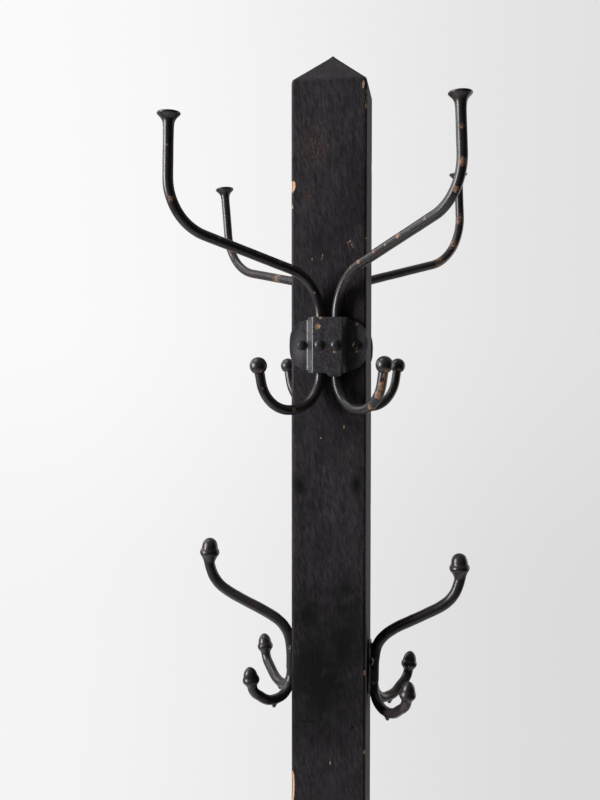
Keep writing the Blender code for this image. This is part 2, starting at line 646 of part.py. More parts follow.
def make_casting(name, side, shift, centre_z):
    place = Matrix.Translation((0, shift, centre_z)) @ Matrix.Rotation(
        0.0 if side > 0 else math.pi, 4, 'Z') @ Matrix.Translation((FACE, 0, 0))
    bm = bmesh.new()
    outline = []
    steps = 16
    for index in range(steps):
        angle = 2 * math.pi * index / steps
        across = math.copysign(abs(math.cos(angle)) ** 0.7, math.cos(angle))
        up = math.copysign(abs(math.sin(angle)) ** 0.8, math.sin(angle))
        outline.append((CASTING_HALF_WIDTH * across, CASTING_HALF_HEIGHT * up - CASTING_PLATE_DROP))
    face = bm.faces.new([bm.verts.new((GAP, y, z)) for y, z in outline])
    grown = bmesh.ops.extrude_face_region(bm, geom=[face])["geom"]
    moved = [item for item in grown if isinstance(item, bmesh.types.BMVert)]
    bmesh.ops.translate(bm, vec=(CASTING_PLATE, 0, 0), verts=moved)
    hook = add_object(name + "_cast_hook", mesh_from(bm, name + "_cast_hook"), CAST_IRON, 40)
    hook.matrix_world = place
    for bar, stations in casting_bars(name, side).items():
        piece = add_object(f"{name}_{bar}", bar_mesh(f"{name}_{bar}", stations, 3), CAST_IRON, 40)
        piece.matrix_world = place
        boolean(hook, piece, 'UNION')
        if bar.startswith("prong"):
            low = min((point for point, radius in stations), key=lambda point: point.z)
            low = low + Vector((NUB_SHIFT[0], math.copysign(NUB_SHIFT[1], low.y), 0.0))
            bm = bmesh.new()
            middle = low - Vector((0, 0, PRONG_RADIUS))
            bmesh.ops.create_cone(bm, cap_ends=True, segments=8, radius1=NUB_TIP, radius2=NUB_FOOT,
                                  depth=NUB_HEIGHT, matrix=Matrix.Translation(middle))
            nub = add_object(f"{name}_{bar}_nub", mesh_from(bm, "nub"), CAST_IRON)
            nub.matrix_world = place
            boolean(hook, nub, 'UNION')
    out = place.to_3x3() @ Vector((1, 0, 0))
    screw = screw_mesh("casting_screw", CASTING_HEAD, SHANK, CASTING_SCREW_LENGTH)
    bores = []
    for hand, lateral in (("front", -CASTING_SCREW_SIDE), ("back", CASTING_SCREW_SIDE)):
        across = lateral * side
        bores.append((place @ Vector((-0.01, across, CASTING_SCREW_Z)), out, SCREW_BORE, 0.04))
        seat = place @ Vector((CASTING_PLATE + 2 * GAP, across, CASTING_SCREW_Z))
        place_fastener(f"{name}_cast_hook_screw_{hand}", screw, seat, out)
    boolean(hook, holes(name + "_casting_holes", bores), 'DIFFERENCE')


def post_bores():
    """Pilot holes in the post for every screw and for the lag bolt."""
    bores = [((0, 0, 0), (0, 0, 1), LAG_BORE, 0.117)]
    for face, drop in ((-1, 0.0), (1, BACK_PLATE_DROP)):
        for side in (-1, 1):
            start = (side * EAR_SCREW, face * (FACE + 0.005), PLATE_Z - drop)
            bores.append((start, (0, -face, 0), SCREW_BORE, 0.0390))
    for side, shift, drop in ((-1, LEFT_CASTING_SHIFT, 0.0), (1, 0.0, RIGHT_CASTING_DROP)):
        for lateral in (-CASTING_SCREW_SIDE, CASTING_SCREW_SIDE):
            start = (side * (FACE + 0.005), shift + lateral, CASTING_Z - drop + CASTING_SCREW_Z)
            bores.append((start, (-side, 0, 0), SCREW_BORE, 0.0350))
    high = FOOT_TOP_Z + GAP + BRACE_HEIGHT - TOE_SCREW
    for turn in FOUR_WAYS.values():
        side = Matrix.Rotation(turn, 4, 'Z')
        bores.append((side @ Vector((FACE + 0.005, 0, high)), side @ Vector((-1, 0, 0)),
                      SCREW_BORE, 0.0340))
    return bores


def main():
    clear_scene()
    make_post()
    make_feet()
    make_braces()
    make_pads()
    make_foot_fasteners()
    for name, face, drop in (("front", -1, 0.0), ("back", 1, BACK_PLATE_DROP)):
        make_plate(name, face, PLATE_Z - drop)
        make_plate_fasteners(name, face, PLATE_Z - drop)
    for name, shape in RODS.items():
        make_rod(name, shape)
    make_casting("left", -1, LEFT_CASTING_SHIFT, CASTING_Z)
    make_casting("right", 1, 0.0, CASTING_Z - RIGHT_CASTING_DROP)


main()
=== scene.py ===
"""Looks of the standing coat rack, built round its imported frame.

Metres, +Z up, the floor at z = 0 and the post's axis on the Z axis. The front of the rack faces -Y.
The post, feet, plates, rods, castings and fasteners are modelled again here as fine meshes with wear
cut into them, and every surface has a procedural material.
"""
import math

import bmesh
import bpy
from mathutils import Matrix, Vector, noise


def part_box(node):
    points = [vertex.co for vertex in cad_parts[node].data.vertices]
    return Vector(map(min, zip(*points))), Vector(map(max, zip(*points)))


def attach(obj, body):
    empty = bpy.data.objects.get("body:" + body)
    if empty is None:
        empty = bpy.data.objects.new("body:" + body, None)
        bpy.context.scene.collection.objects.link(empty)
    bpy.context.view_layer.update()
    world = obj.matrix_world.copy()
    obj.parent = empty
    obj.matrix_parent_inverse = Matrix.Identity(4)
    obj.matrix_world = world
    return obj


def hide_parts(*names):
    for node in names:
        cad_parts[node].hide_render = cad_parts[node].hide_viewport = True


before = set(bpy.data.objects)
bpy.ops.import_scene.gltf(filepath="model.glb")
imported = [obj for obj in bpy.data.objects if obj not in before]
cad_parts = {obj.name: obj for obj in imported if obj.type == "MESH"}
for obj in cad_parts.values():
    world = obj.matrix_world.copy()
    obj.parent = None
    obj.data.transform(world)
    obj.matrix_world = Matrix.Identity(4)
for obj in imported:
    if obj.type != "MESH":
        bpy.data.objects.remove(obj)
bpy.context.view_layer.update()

# === Sizes shared with the frame ===

POST_LOW, POST_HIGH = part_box("post")
FACE = POST_HIGH.x                      # half the side of the post
PYRAMID_RISE = 0.0377
SHOULDER_Z = POST_HIGH.z - PYRAMID_RISE
FOOT_TOP_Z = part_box("foot_beam_upper")[1].z
FOOT_LOW_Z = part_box("foot_beam_upper")[0].z
FOOT_HALF_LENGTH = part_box("foot_beam_lower")[1].x
FOOT_HALF_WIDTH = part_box("foot_beam_lower")[1].y
GAP = 0.0003
TENON_HALF = 0.022

ROD_RADIUS = 0.0057
ROD_SPACING = 0.0095
ROD_Y = FACE + GAP + ROD_RADIUS
PLATE_THICKNESS = 0.0032
PLATE_BEND = 0.0013
EAR_HALF_HEIGHT = 0.0300
BOX_HALF_HEIGHT = 0.0325
BOX_TOP_HALF = 0.0180
BOX_FOOT_HALF = 0.0243
BOX_LIFT = 2 * ROD_RADIUS + 2 * GAP
EAR_SCREW = 0.0320
PLATE_HALF_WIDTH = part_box("front_hook_plate")[1].x
PLATE_Z = {name: (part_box(name + "_hook_plate")[0].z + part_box(name + "_hook_plate")[1].z) / 2
           for name in ("front", "back")}
BALL_RADIUS = 0.00985
BALL_SEAT = 0.0076
SPIGOT_RADIUS = 0.0040
SHANK = 0.0023
RIVET_RADIUS = 0.0022

CASTING_Z = {"left": SHOULDER_Z - 0.6850, "right": SHOULDER_Z - 0.6850 - 0.0109}
CASTING_SHIFT = {"left": 0.0028, "right": 0.0}
CASTING_PLATE = 0.0035
CASTING_SCREW_SIDE = 0.0150
CASTING_SCREW_Z = 0.0030
BRACE_TOE = 0.020
TOE_SCREW = 0.014
FOUR_WAYS = {"right": 0.0, "back": math.pi / 2, "left": math.pi, "front": -math.pi / 2}

# The rods' bends, as in the frame: (out, up) along each arm, up from the post's shoulder.
RODS = {
    "front_left": {
        "side": -1, "face": -1, "angles": (45, 45), "fork": -0.2350, "fork_bend": 0.056,
        "elbow": (0.2035, -0.1820), "elbow_bend": 0.059, "tip": (0.2008, -0.0690),
        "hook_bottom": -0.3847, "hook_tip": (0.0880, -0.3338)},
    "front_right": {
        "side": 1, "face": -1, "angles": (45, 45), "fork": -0.2335, "fork_bend": 0.061,
        "elbow": (0.2010, -0.1630), "elbow_bend": 0.058, "tip": (0.1957, -0.0578),
        "hook_bottom": -0.3840, "hook_tip": (0.0838, -0.3325)},
    "back_left": {
        "side": -1, "face": 1, "angles": (50, 45), "fork": -0.2362, "fork_bend": 0.056,
        "elbow": (0.2005, -0.2005), "elbow_bend": 0.066, "tip": (0.2150, -0.0845),
        "hook_bottom": -0.3847, "hook_tip": (0.0880, -0.3354)},
    "back_right": {
        "side": 1, "face": 1, "angles": (45, 45), "fork": -0.2350, "fork_bend": 0.056,
        "elbow": (0.2110, -0.1860), "elbow_bend": 0.069, "tip": (0.2040, -0.0698),
        "hook_bottom": -0.3885, "hook_tip": (0.0922, -0.3354)},
}
HOOK_LEAN = 0.0105
PRONG_TIPS = {
    "left": {"front": (0.0484, -0.0072), "back": (0.0522, -0.0014)},
    "right": {"front": (0.0518, -0.0046), "back": (0.0503, -0.0052)},
}
PRONG_LATERAL = 0.0632
PRONG_BOTTOM = {
    "left": {"front": -0.0572, "back": -0.0520},
    "right": {"front": -0.0548, "back": -0.0520},
}
PRONG_NECK = 0.0308
NUB_SHIFT = (0.0035, 0.0050)

# Ends of bars, as (distance back from the tip, radius)
FLARED_HEAD = [(0.0200, 0.0057), (0.0160, 0.0058), (0.0120, 0.0062), (0.0095, 0.0069), (0.0075, 0.0080),
               (0.0058, 0.0094), (0.0045, 0.0107), (0.0034, 0.0119), (0.0026, 0.0124), (0.0018, 0.0125),
               (0.0011, 0.0122), (0.0006, 0.0114), (0.0003, 0.0100), (0.0001, 0.0060), (0.0000, 0.0015)]
UPPER_ACORN = [(0.0285, 0.0074), (0.0262, 0.0083), (0.0235, 0.0097), (0.0218, 0.0110), (0.0205, 0.0118),
               (0.0191, 0.0123), (0.0178, 0.0124), (0.0164, 0.0122), (0.0150, 0.0116), (0.0138, 0.0107),
               (0.0126, 0.0101), (0.0106, 0.0100), (0.0085, 0.0097), (0.0064, 0.0090), (0.0045, 0.0081),
               (0.0028, 0.0068), (0.0015, 0.0052), (0.0006, 0.0036), (0.0000, 0.0016)]
PRONG_ACORN = [(0.0218, 0.0074), (0.0205, 0.0084), (0.0192, 0.0094), (0.0178, 0.0100), (0.0162, 0.0102),
               (0.0148, 0.0100), (0.0135, 0.0096), (0.0125, 0.0088), (0.0116, 0.0084), (0.0100, 0.0083),
               (0.0085, 0.0080), (0.0067, 0.0075), (0.0050, 0.0067), (0.0034, 0.0056), (0.0020, 0.0044),
               (0.0008, 0.0030), (0.0000, 0.0012)]


# === Mesh helpers ===

def link(name, mesh, material):
    obj = bpy.data.objects.new(name, mesh)
    bpy.context.scene.collection.objects.link(obj)
    mesh.materials.clear()
    mesh.materials.append(material)
    return obj


def mesh_from(bm, name):
    bmesh.ops.recalc_face_normals(bm, faces=bm.faces)
    mesh = bpy.data.meshes.new(name)
    bm.to_mesh(mesh)
    bm.free()
    return mesh


def apply_modifiers(obj):
    bpy.context.view_layer.update()
    graph = bpy.context.evaluated_depsgraph_get()
    mesh = bpy.data.meshes.new_from_object(obj.evaluated_get(graph))
    obj.modifiers.clear()
    obj.data = mesh
    return obj


def cut(obj, cutter, operation='DIFFERENCE'):
    """Boolean obj with a throw-away object."""
    modifier = obj.modifiers.new("cut", 'BOOLEAN')
    modifier.operation = operation
    modifier.solver = 'EXACT'
    modifier.object = cutter
    apply_modifiers(obj)
    bpy.data.objects.remove(cutter, do_unlink=True)


def smooth(obj, degrees=40):
    obj.data.shade_smooth()
    obj.data.set_sharp_from_angle(angle=math.radians(degrees))


def aim(position, direction, spin=0.0):
    """A placement at position whose +Z points along direction, turned by spin about it."""
    turn = Vector((0, 0, 1)).rotation_difference(Vector(direction)).to_matrix().to_4x4()
    return Matrix.Translation(position) @ turn @ Matrix.Rotation(spin, 4, 'Z')


def loft(name, rings, material):
    """A closed mesh through rings of equally many points, with a flat cap on both ends."""
    count = len(rings[0])
    verts = [point for ring in rings for point in ring]
    faces = []
    for row in range(len(rings) - 1):
        for index in range(count):
            after = (index + 1) % count
            faces.append((row * count + index, row * count + after,
                          (row + 1) * count + after, (row + 1) * count + index))
    last = (len(rings) - 1) * count
    faces.append(tuple(reversed(range(count))))
    faces.append(tuple(last + index for index in range(count)))
    mesh = bpy.data.meshes.new(name)
    mesh.from_pydata(verts, [], faces)
    bm = bmesh.new()
    bm.from_mesh(mesh)
    bpy.data.meshes.remove(mesh)
    return link(name, mesh_from(bm, name), material)


def block(name, low, high, material):
    bm = bmesh.new()
    low, high = Vector(low), Vector(high)
    place = Matrix.Translation((low + high) / 2) @ Matrix.Diagonal((*(high - low), 1.0))
    bmesh.ops.create_cube(bm, size=1.0, matrix=place)
    return link(name, mesh_from(bm, name), material)


def turned(name, profile, steps, material):
    """A solid of revolution about Z, from (radius, height) points that end on the axis."""
    bm = bmesh.new()
    verts = [bm.verts.new((radius, 0.0, height)) for radius, height in profile]
    edges = [bm.edges.new(pair) for pair in zip(verts, verts[1:])]
    bmesh.ops.spin(bm, geom=verts + edges, cent=(0, 0, 0), axis=(0, 0, 1), angle=2 * math.pi,
                   steps=steps, use_merge=True)
    bmesh.ops.remove_doubles(bm, verts=bm.verts, dist=1e-6)
    return link(name, mesh_from(bm, name), material)


def round_edges(obj, width, segments, degrees):
    """Round over every edge of obj that is sharper than degrees."""
    bevel = obj.modifiers.new("edges", 'BEVEL')
    bevel.width = width
    bevel.segments = segments
    bevel.limit_method = 'ANGLE'
    bevel.angle_limit = math.radians(degrees)
    apply_modifiers(obj)


def roughen(obj, height, pitch, seed, inward=False):
    """Move each vertex along its normal by smooth noise of at most height, whose bumps are pitch apart."""
    mesh = obj.data
    shift = Vector((seed * 3.7, seed * 1.9, seed * 5.3))
    normals = [vert.normal.copy() for vert in mesh.vertices]
    for vert, normal in zip(mesh.vertices, normals):
        value = noise.noise(vert.co / pitch + shift)
        if inward:
            value = -abs(value)
        vert.co += normal * value * height
    mesh.update()


def falloff(distance, radius):
    share = min(1.0, distance / radius)
    return 1.0 - share * share * (3.0 - 2.0 * share)


def mark_wear(obj, spots, everywhere=0.0):
    """Store how worn each vertex is, from spots of (centre, radius, strength)."""
    wear = obj.data.attributes.new("wear", 'FLOAT', 'POINT')
    values = []
    for vert in obj.data.vertices:
        worn = everywhere
        for centre, radius, strength in spots:
            distance = (vert.co - centre).length
            if distance < radius:
                worn = max(worn, strength * falloff(distance, radius))
        values.append(worn)
    wear.data.foreach_set("value", values)


# === Paths and bars ===

def bent_path(corners, bends, spacing=0.002):
    """Points along straight runs between corners, each inner corner rounded to its bend radius."""
    corners = [Vector(corner) for corner in corners]
    points = [corners[0]]

    def straight_to(end):
        start = points[-1]
        count = max(1, round((end - start).length / spacing))
        points.extend(start.lerp(end, index / count) for index in range(1, count + 1))

    for before, corner, after, bend in zip(corners, corners[1:], corners[2:], bends):
        into = (corner - before).normalized()
        out = (after - corner).normalized()
        turn = into.angle(out)
        start = corner - into * bend * math.tan(turn / 2)
        straight_to(start)
        side = (out - into * into.dot(out)).normalized()
        centre = start + side * bend
        count = max(3, math.ceil(turn * bend / spacing))
        for index in range(1, count + 1):
            angle = turn * index / count
            points.append(centre + into * bend * math.sin(angle) - side * bend * math.cos(angle))
    straight_to(corners[-1])
    return points


def relaxed(points, rounds, held):
    """Ease a path's bends into its straight runs, holding its first point and the last stretch of it."""
    free = [index for index in range(1, len(points) - 1) if (points[index] - points[-1]).length > held]
    for _ in range(rounds):
        before = list(points)
        for index in free:
            points[index] = (before[index - 1] + before[index] * 2 + before[index + 1]) / 4
    return points


def shaped_end(points, profile, radius):
    """Stations of a bar of one radius whose last straight run ends in a shaped head."""
    tip = points[-1]
    back = (points[-2] - tip).normalized()
    length = profile[0][0]
    stations = [(point, radius) for point in points if (point - tip).length > length + 0.0012]
    stations += [(tip + back * distance, size) for distance, size in profile]
    return stations


def bar(name, stations, material, sides=32):
    """A closed round bar through (point, radius) stations."""
    points = [point for point, radius in stations]
    tangents = []
    for index in range(len(points)):
        before = points[max(0, index - 1)]
        after = points[min(len(points) - 1, index + 1)]
        tangents.append((after - before).normalized())
    across = tangents[0].orthogonal().normalized()
    rings = []
    for index, (point, radius) in enumerate(stations):
        if index:
            turn = tangents[index - 1].rotation_difference(tangents[index])
            across = turn @ across
        across = (across - tangents[index] * across.dot(tangents[index])).normalized()
        other = tangents[index].cross(across)
        rings.append([point + (across * math.cos(angle) + other * math.sin(angle)) * radius
                      for angle in (2 * math.pi * step / sides for step in range(sides))])
    return loft(name, rings, material)


# === Materials ===

# The post's old paint: its usual black, where it is thickest, on the raised strokes and rubbed thin
PAINT = (0.0225, 0.0198, 0.0236)
PAINT_DARK = (0.0100, 0.0086, 0.0105)
PAINT_PALE = (0.0500, 0.0455, 0.0530)
PAINT_WARM = (0.0500, 0.0400, 0.0390)
PAINT_STAIN = (0.120, 0.062, 0.040)
# darker patches low on the front face
PAINT_DARK_PATCH = (0.0022, 0.0019, 0.0022)
# painted shade inside the dents on the front face
PAINT_DENT_SHADE = (0.0030, 0.0026, 0.0031)
BARE_WOOD = ((0.34, 0.170, 0.090), (0.60, 0.37, 0.235))
RAGGED = 0.28                           # how far noise moves the edge of a bare patch of wood
PLATE_PAINTED_SHEEN = (0.105, 0.098, 0.112)     # painted sheen: lighter paint where the plate's left ear catches the light


class Graph:
    """A material's nodes, with a short call for each kind of node that it uses."""

    def __init__(self, name):
        self.material = bpy.data.materials.new(name)
        self.material.use_nodes = True
        self.tree = self.material.node_tree
        self.shader = self.tree.nodes["Principled BSDF"]
        self.place = self.add("ShaderNodeTexCoord").outputs["Object"]

    def add(self, kind, values=None, **settings):
        node = self.tree.nodes.new(kind)
        for key, value in settings.items():
            setattr(node, key, value)
        for key, value in (values or {}).items():
            self.feed(node.inputs[key], value)
        return node

    def feed(self, socket, value):
        if isinstance(value, bpy.types.NodeSocket):
            self.tree.links.new(value, socket)
        elif isinstance(value, tuple) and len(value) == 3 and socket.type == 'RGBA':
            socket.default_value = (*value, 1.0)
        else:
            socket.default_value = value

    def stretched(self, scale, turn=None):
        """The place scaled unevenly, after a turn that tilts the streaks it makes."""
        place = self.place
        if turn:
            place = self.add("ShaderNodeMapping", {"Vector": place, "Rotation": turn}).outputs[0]
        return self.add("ShaderNodeMapping", {"Vector": place, "Scale": scale}).outputs[0]

    def noise(self, scale, detail=4.0, rough=0.55, vector=None, bend=0.0):
        values = {"Vector": vector or self.place, "Scale": scale, "Detail": detail, "Roughness": rough,
                  "Distortion": bend}
        return self.add("ShaderNodeTexNoise", values).outputs["Fac"]

    def cells(self, scale):
        return self.add("ShaderNodeTexVoronoi", {"Vector": self.place, "Scale": scale}).outputs["Distance"]

    def levels(self, value, low, high, out_low=0.0, out_high=1.0):
        return self.add("ShaderNodeMapRange", {"Value": value, "From Min": low, "From Max": high,
                                               "To Min": out_low, "To Max": out_high}).outputs[0]

    def math(self, operation, first, second=0.0):
        node = self.add("ShaderNodeMath", operation=operation)
        self.feed(node.inputs[0], first)
        self.feed(node.inputs[1], second)
        return node.outputs[0]

    def mix(self, share, first, second):
        node = self.add("ShaderNodeMix", data_type='RGBA')
        self.feed(node.inputs[0], share)
        self.feed(node.inputs[6], first)
        self.feed(node.inputs[7], second)
        return node.outputs[2]

    def attribute(self, name):
        return self.add("ShaderNodeAttribute", attribute_name=name).outputs["Fac"]

    def spot(self, centre, radii, hard=0.35):
        """1 inside an ellipsoid at centre, fading to 0 at its radii."""
        away = self.add("ShaderNodeVectorMath", operation='SUBTRACT')
        self.feed(away.inputs[0], self.place)
        self.feed(away.inputs[1], centre)
        scaled = self.add("ShaderNodeVectorMath", operation='DIVIDE')
        self.feed(scaled.inputs[0], away.outputs[0])
        self.feed(scaled.inputs[1], radii)
        length = self.add("ShaderNodeVectorMath", operation='LENGTH')
        self.feed(length.inputs[0], scaled.outputs[0])
        return self.levels(length.outputs["Value"], 1.0, hard)

    def most(self, values):
        total = values[0]
        for value in values[1:]:
            total = self.math('MAXIMUM', total, value)
        return total

    def bump(self, height, strength, distance, below=None):
        values = {"Height": height, "Strength": strength, "Distance": distance}
        if below:
            values["Normal"] = below
        return self.add("ShaderNodeBump", values).outputs[0]

    def finish(self, colour, roughness, normal=None, **constants):
        self.feed(self.shader.inputs["Base Color"], colour)
        self.feed(self.shader.inputs["Roughness"], roughness)
        if normal:
            self.feed(self.shader.inputs["Normal"], normal)
        for key, value in constants.items():
            self.shader.inputs[key.replace("_", " ")].default_value = value
        return self.material


def painted_wood(name, along, dark_patches=(), rubs=(), stains=(), dents=()):
    """Old black paint on timber whose grain runs along one axis, chipped to bare wood."""
    g = Graph(name)
    fine = [520.0, 520.0, 520.0]
    fine[along] = 16.0
    stroke = [330.0, 330.0, 330.0]
    stroke[along] = 46.0
    broad = [60.0, 60.0, 60.0]
    broad[along] = 2.2
    tilt = math.radians(13)
    fibre = g.noise(1.0, 5.0, 0.62, g.stretched(tuple(fine)), 0.4)
    brush = g.noise(1.0, 4.0, 0.6, g.stretched(tuple(stroke), (tilt, tilt, 0.0)), 0.6)
    figure = g.noise(1.0, 3.0, 0.5, g.stretched(tuple(broad)), 0.8)
    cloud = g.noise(16.0, 4.0, 0.6)
    orange_peel = g.noise(240.0, 4.0, 0.6)

    paint = g.mix(g.levels(figure, 0.3, 0.7), PAINT_DARK, PAINT)
    paint = g.mix(g.levels(brush, 0.40, 0.80), paint, PAINT_PALE)
    paint = g.mix(g.levels(fibre, 0.52, 0.78, 0.0, 0.8), paint, PAINT_WARM)
    paint = g.mix(g.levels(cloud, 0.44, 0.66, 0.0, 0.55), paint, PAINT_DARK)
    rough = g.levels(brush, 0.25, 0.75, 0.46, 0.66)
    if stains:
        stain = g.most([g.spot(*spot, hard=0.2) for spot in stains])
        lines = g.levels(g.noise(1.0, 4.0, 0.7, g.stretched((900.0, 900.0, 260.0))), 0.50, 0.66)
        paint = g.mix(g.math('MULTIPLY', stain, lines), paint, PAINT_STAIN)
    # Darker patches on the front face, one broad enough to darken the lower part of the face; the paint is a
    # little rougher there too.
    if dark_patches:
        mark = g.math('MULTIPLY', g.most([g.spot(*spot, hard=0.15) for spot in dark_patches]),
                      g.levels(g.noise(42.0, 4.0, 0.6), 0.22, 0.48))
        paint = g.mix(g.math('MULTIPLY', mark, 0.94), paint, PAINT_DARK_PATCH)
        rough = g.math('ADD', rough, g.math('MULTIPLY', mark, 0.12))

    if dents:
        # Painted shade darkens the paint inside the dents; the same dents are bumped in below.
        dent = g.math('MULTIPLY', g.most([g.spot(*spot, hard=0.4) for spot in dents]),
                      g.levels(g.noise(520.0, 3.0, 0.6), 0.42, 0.56))
        paint = g.mix(g.math('MULTIPLY', dent, 0.85), paint, PAINT_DENT_SHADE)

    wood = g.mix(g.levels(fibre, 0.3, 0.7), *BARE_WOOD)
    ragged = g.levels(g.noise(700.0, 4.0, 0.6), 0.0, 1.0, -RAGGED, RAGGED)
    bare = g.levels(g.math('ADD', g.attribute("wear"), ragged), 0.46, 0.56)
    if rubs:
        rub = g.most([g.spot(*spot, hard=0.3) for spot in rubs])
        scratches = g.noise(1.0, 4.0, 0.7, g.stretched((1100.0, 1100.0, 420.0)))
        break_up = g.levels(scratches, 0.0, 1.0, -0.75, 0.65)
        bare = g.math('MAXIMUM', bare, g.levels(g.math('ADD', rub, break_up), 0.72, 0.90))
    colour = g.mix(bare, paint, wood)
    rough = g.math('MAXIMUM', rough, g.math('MULTIPLY', bare, 0.75))

    normal = g.bump(fibre, 0.5, 0.0004)
    normal = g.bump(brush, 0.6, 0.0007, normal)
    normal = g.bump(figure, 0.30, 0.0012, normal)
    normal = g.bump(orange_peel, 0.4, 0.0004, normal)
    normal = g.bump(g.levels(bare, 0.0, 1.0, 1.0, 0.0), 0.5, 0.0003, normal)
    if dents:
        normal = g.bump(g.levels(dent, 0.0, 1.0, 1.0, 0.0), 1.0, 0.0022, normal)
    return g.finish(colour, rough, normal, IOR=1.45, Specular_IOR_Level=0.16)


def black_iron(name, black, shine, grain, grain_depth, rust, specks, brush=None, tarnish=None,
               sheen_spots=()):
    """Black baked paint on iron, worn to brown rust where the wear attribute says."""
    g = Graph(name)
    cloud = g.noise(60.0, 4.0, 0.6)
    break_up = g.noise(420.0, 6.0, 0.68)
    pits = g.noise(grain, 3.0, 0.6)
    tone = tuple(value * 1.5 for value in black)
    paint = g.mix(g.levels(cloud, 0.35, 0.7), black, tone)
    if tarnish:
        brownish = g.math('MULTIPLY', g.levels(g.noise(75.0, 5.0, 0.65), 0.46, 0.64), 0.85)
        paint = g.mix(brownish, paint, tarnish)
    # Painted sheen: the paint is lightened in these spots to stand in for light that the surface catches.
    if sheen_spots:
        painted_sheen = g.most([g.spot(*spot, hard=0.3) for spot in sheen_spots])
        paint = g.mix(painted_sheen, paint, PLATE_PAINTED_SHEEN)
    rough = g.levels(g.noise(70.0, 3.0), 0.3, 0.7, shine - 0.04, shine + 0.06)
    normal = g.bump(pits, 0.25, grain_depth)
    if brush:
        streak = g.noise(1.0, 5.0, 0.65, g.stretched(brush["scale"], brush["turn"]), 1.2)
        paint = g.mix(g.levels(streak, 0.45, 0.68), paint, brush["pale"])
        normal = g.bump(streak, 0.6, 0.0004, normal)
    ragged = g.levels(break_up, 0.0, 1.0, -0.55, 0.55)
    worn = g.levels(g.math('ADD', g.attribute("wear"), ragged), 0.47, 0.60)
    fleck = g.levels(g.noise(650.0, 3.0, 0.6), specks, specks + 0.03)
    worn = g.math('MAXIMUM', worn, fleck)
    brown = g.mix(g.levels(g.noise(260.0, 4.0, 0.65), 0.36, 0.66), rust[0], rust[1])
    colour = g.mix(worn, paint, brown)
    rough = g.math('ADD', rough, g.math('MULTIPLY', worn, 0.20))
    normal = g.bump(g.levels(worn, 0.0, 1.0, 1.0, 0.0), 0.4, 0.00012, normal)
    return g.finish(colour, rough, normal, IOR=1.5)


def bright_steel(name):
    """Dull zinc-plated steel of the bolt and its washer."""
    g = Graph(name)
    cloud = g.noise(220.0, 5.0, 0.6)
    lines = g.noise(1.0, 3.0, 0.5, g.stretched((90.0, 90.0, 2600.0)))
    colour = g.mix(g.levels(cloud, 0.35, 0.65), (0.33, 0.33, 0.34), (0.52, 0.52, 0.51))
    colour = g.mix(g.levels(g.noise(900.0, 4.0, 0.7), 0.64, 0.72), colour, (0.16, 0.075, 0.035))
    rough = g.levels(cloud, 0.3, 0.7, 0.34, 0.55)
    return g.finish(colour, rough, g.bump(lines, 0.2, 0.0002), Metallic=1.0)


def brown_leather(name):
    """Compressed leather of the foot pads."""
    g = Graph(name)
    pores = g.cells(900.0)
    layers = g.noise(1.0, 4.0, 0.6, g.stretched((120.0, 120.0, 1500.0)))
    colour = g.mix(g.levels(g.noise(80.0, 4.0), 0.3, 0.7), (0.060, 0.030, 0.017), (0.125, 0.066, 0.036))
    colour = g.mix(g.levels(layers, 0.5, 0.8, 0.0, 0.6), colour, (0.040, 0.021, 0.013))
    normal = g.bump(pores, 0.5, 0.0003, g.bump(layers, 0.4, 0.0004))
    return g.finish(colour, g.levels(pores, 0.0, 0.6, 0.62, 0.85), normal)


# === Post ===

# Chips along the post's long edges: (edge as signs of x and y, metres below the shoulder, half length, depth)
POST_CHIPS = [
    ((-1, -1), 0.1235, 0.0066, 0.0024), ((-1, -1), 0.1480, 0.0026, 0.0005),
    ((-1, -1), 0.8400, 0.0190, 0.0014),
    ((1, -1), 0.0170, 0.0034, 0.0004), ((1, -1), 0.0240, 0.0030, 0.0004), ((1, -1), 0.0330, 0.0036, 0.0006),
    ((1, -1), 0.6980, 0.0024, 0.0007), ((1, -1), 0.7943, 0.0024, 0.0007), ((1, -1), 0.1860, 0.0022, 0.0006),
    ((1, 1), 0.0900, 0.0080, 0.0020), ((1, 1), 0.5200, 0.0120, 0.0016), ((1, 1), 1.1800, 0.0180, 0.0026),
    ((-1, 1), 0.3100, 0.0100, 0.0018), ((-1, 1), 0.9500, 0.0060, 0.0012), ((-1, 1), 1.3800, 0.0160, 0.0028),
    ((1, -1), 1.2200, 0.0140, 0.0020), ((-1, -1), 1.3000, 0.0110, 0.0022), ((1, -1), 1.4700, 0.0090, 0.0026),
    ((-1, -1), 1.4800, 0.0100, 0.0024),
]
ARRIS = 0.0030
SHOULDER_EASE = 0.0060
SHOULDER_SOFTNESS = 0.0012


def square_ring(half, rounding, z):
    """Points round a square section with rounded corners, closer together near the corners."""
    flat = half - rounding
    spread = [0.0, 0.0006, 0.0013, 0.0022, 0.0035, 0.0055, 0.0090, 0.0150, 0.0240, 0.0340]
    scale = flat / (FACE - ARRIS)
    offsets = [flat - value * scale for value in spread]
    offsets += [0.0] + [-value for value in reversed(offsets)]
    corner_steps = 4
    ring = []
    for quarter in range(4):
        turn = Matrix.Rotation(quarter * math.pi / 2, 3, 'Z')
        for offset in offsets:
            ring.append(turn @ Vector((offset, -half, z)))
        for step in range(1, corner_steps):
            angle = math.pi / 2 * step / corner_steps
            ring.append(turn @ Vector((-flat - rounding * math.sin(angle),
                                       -flat - rounding * math.cos(angle), z)))
    return ring


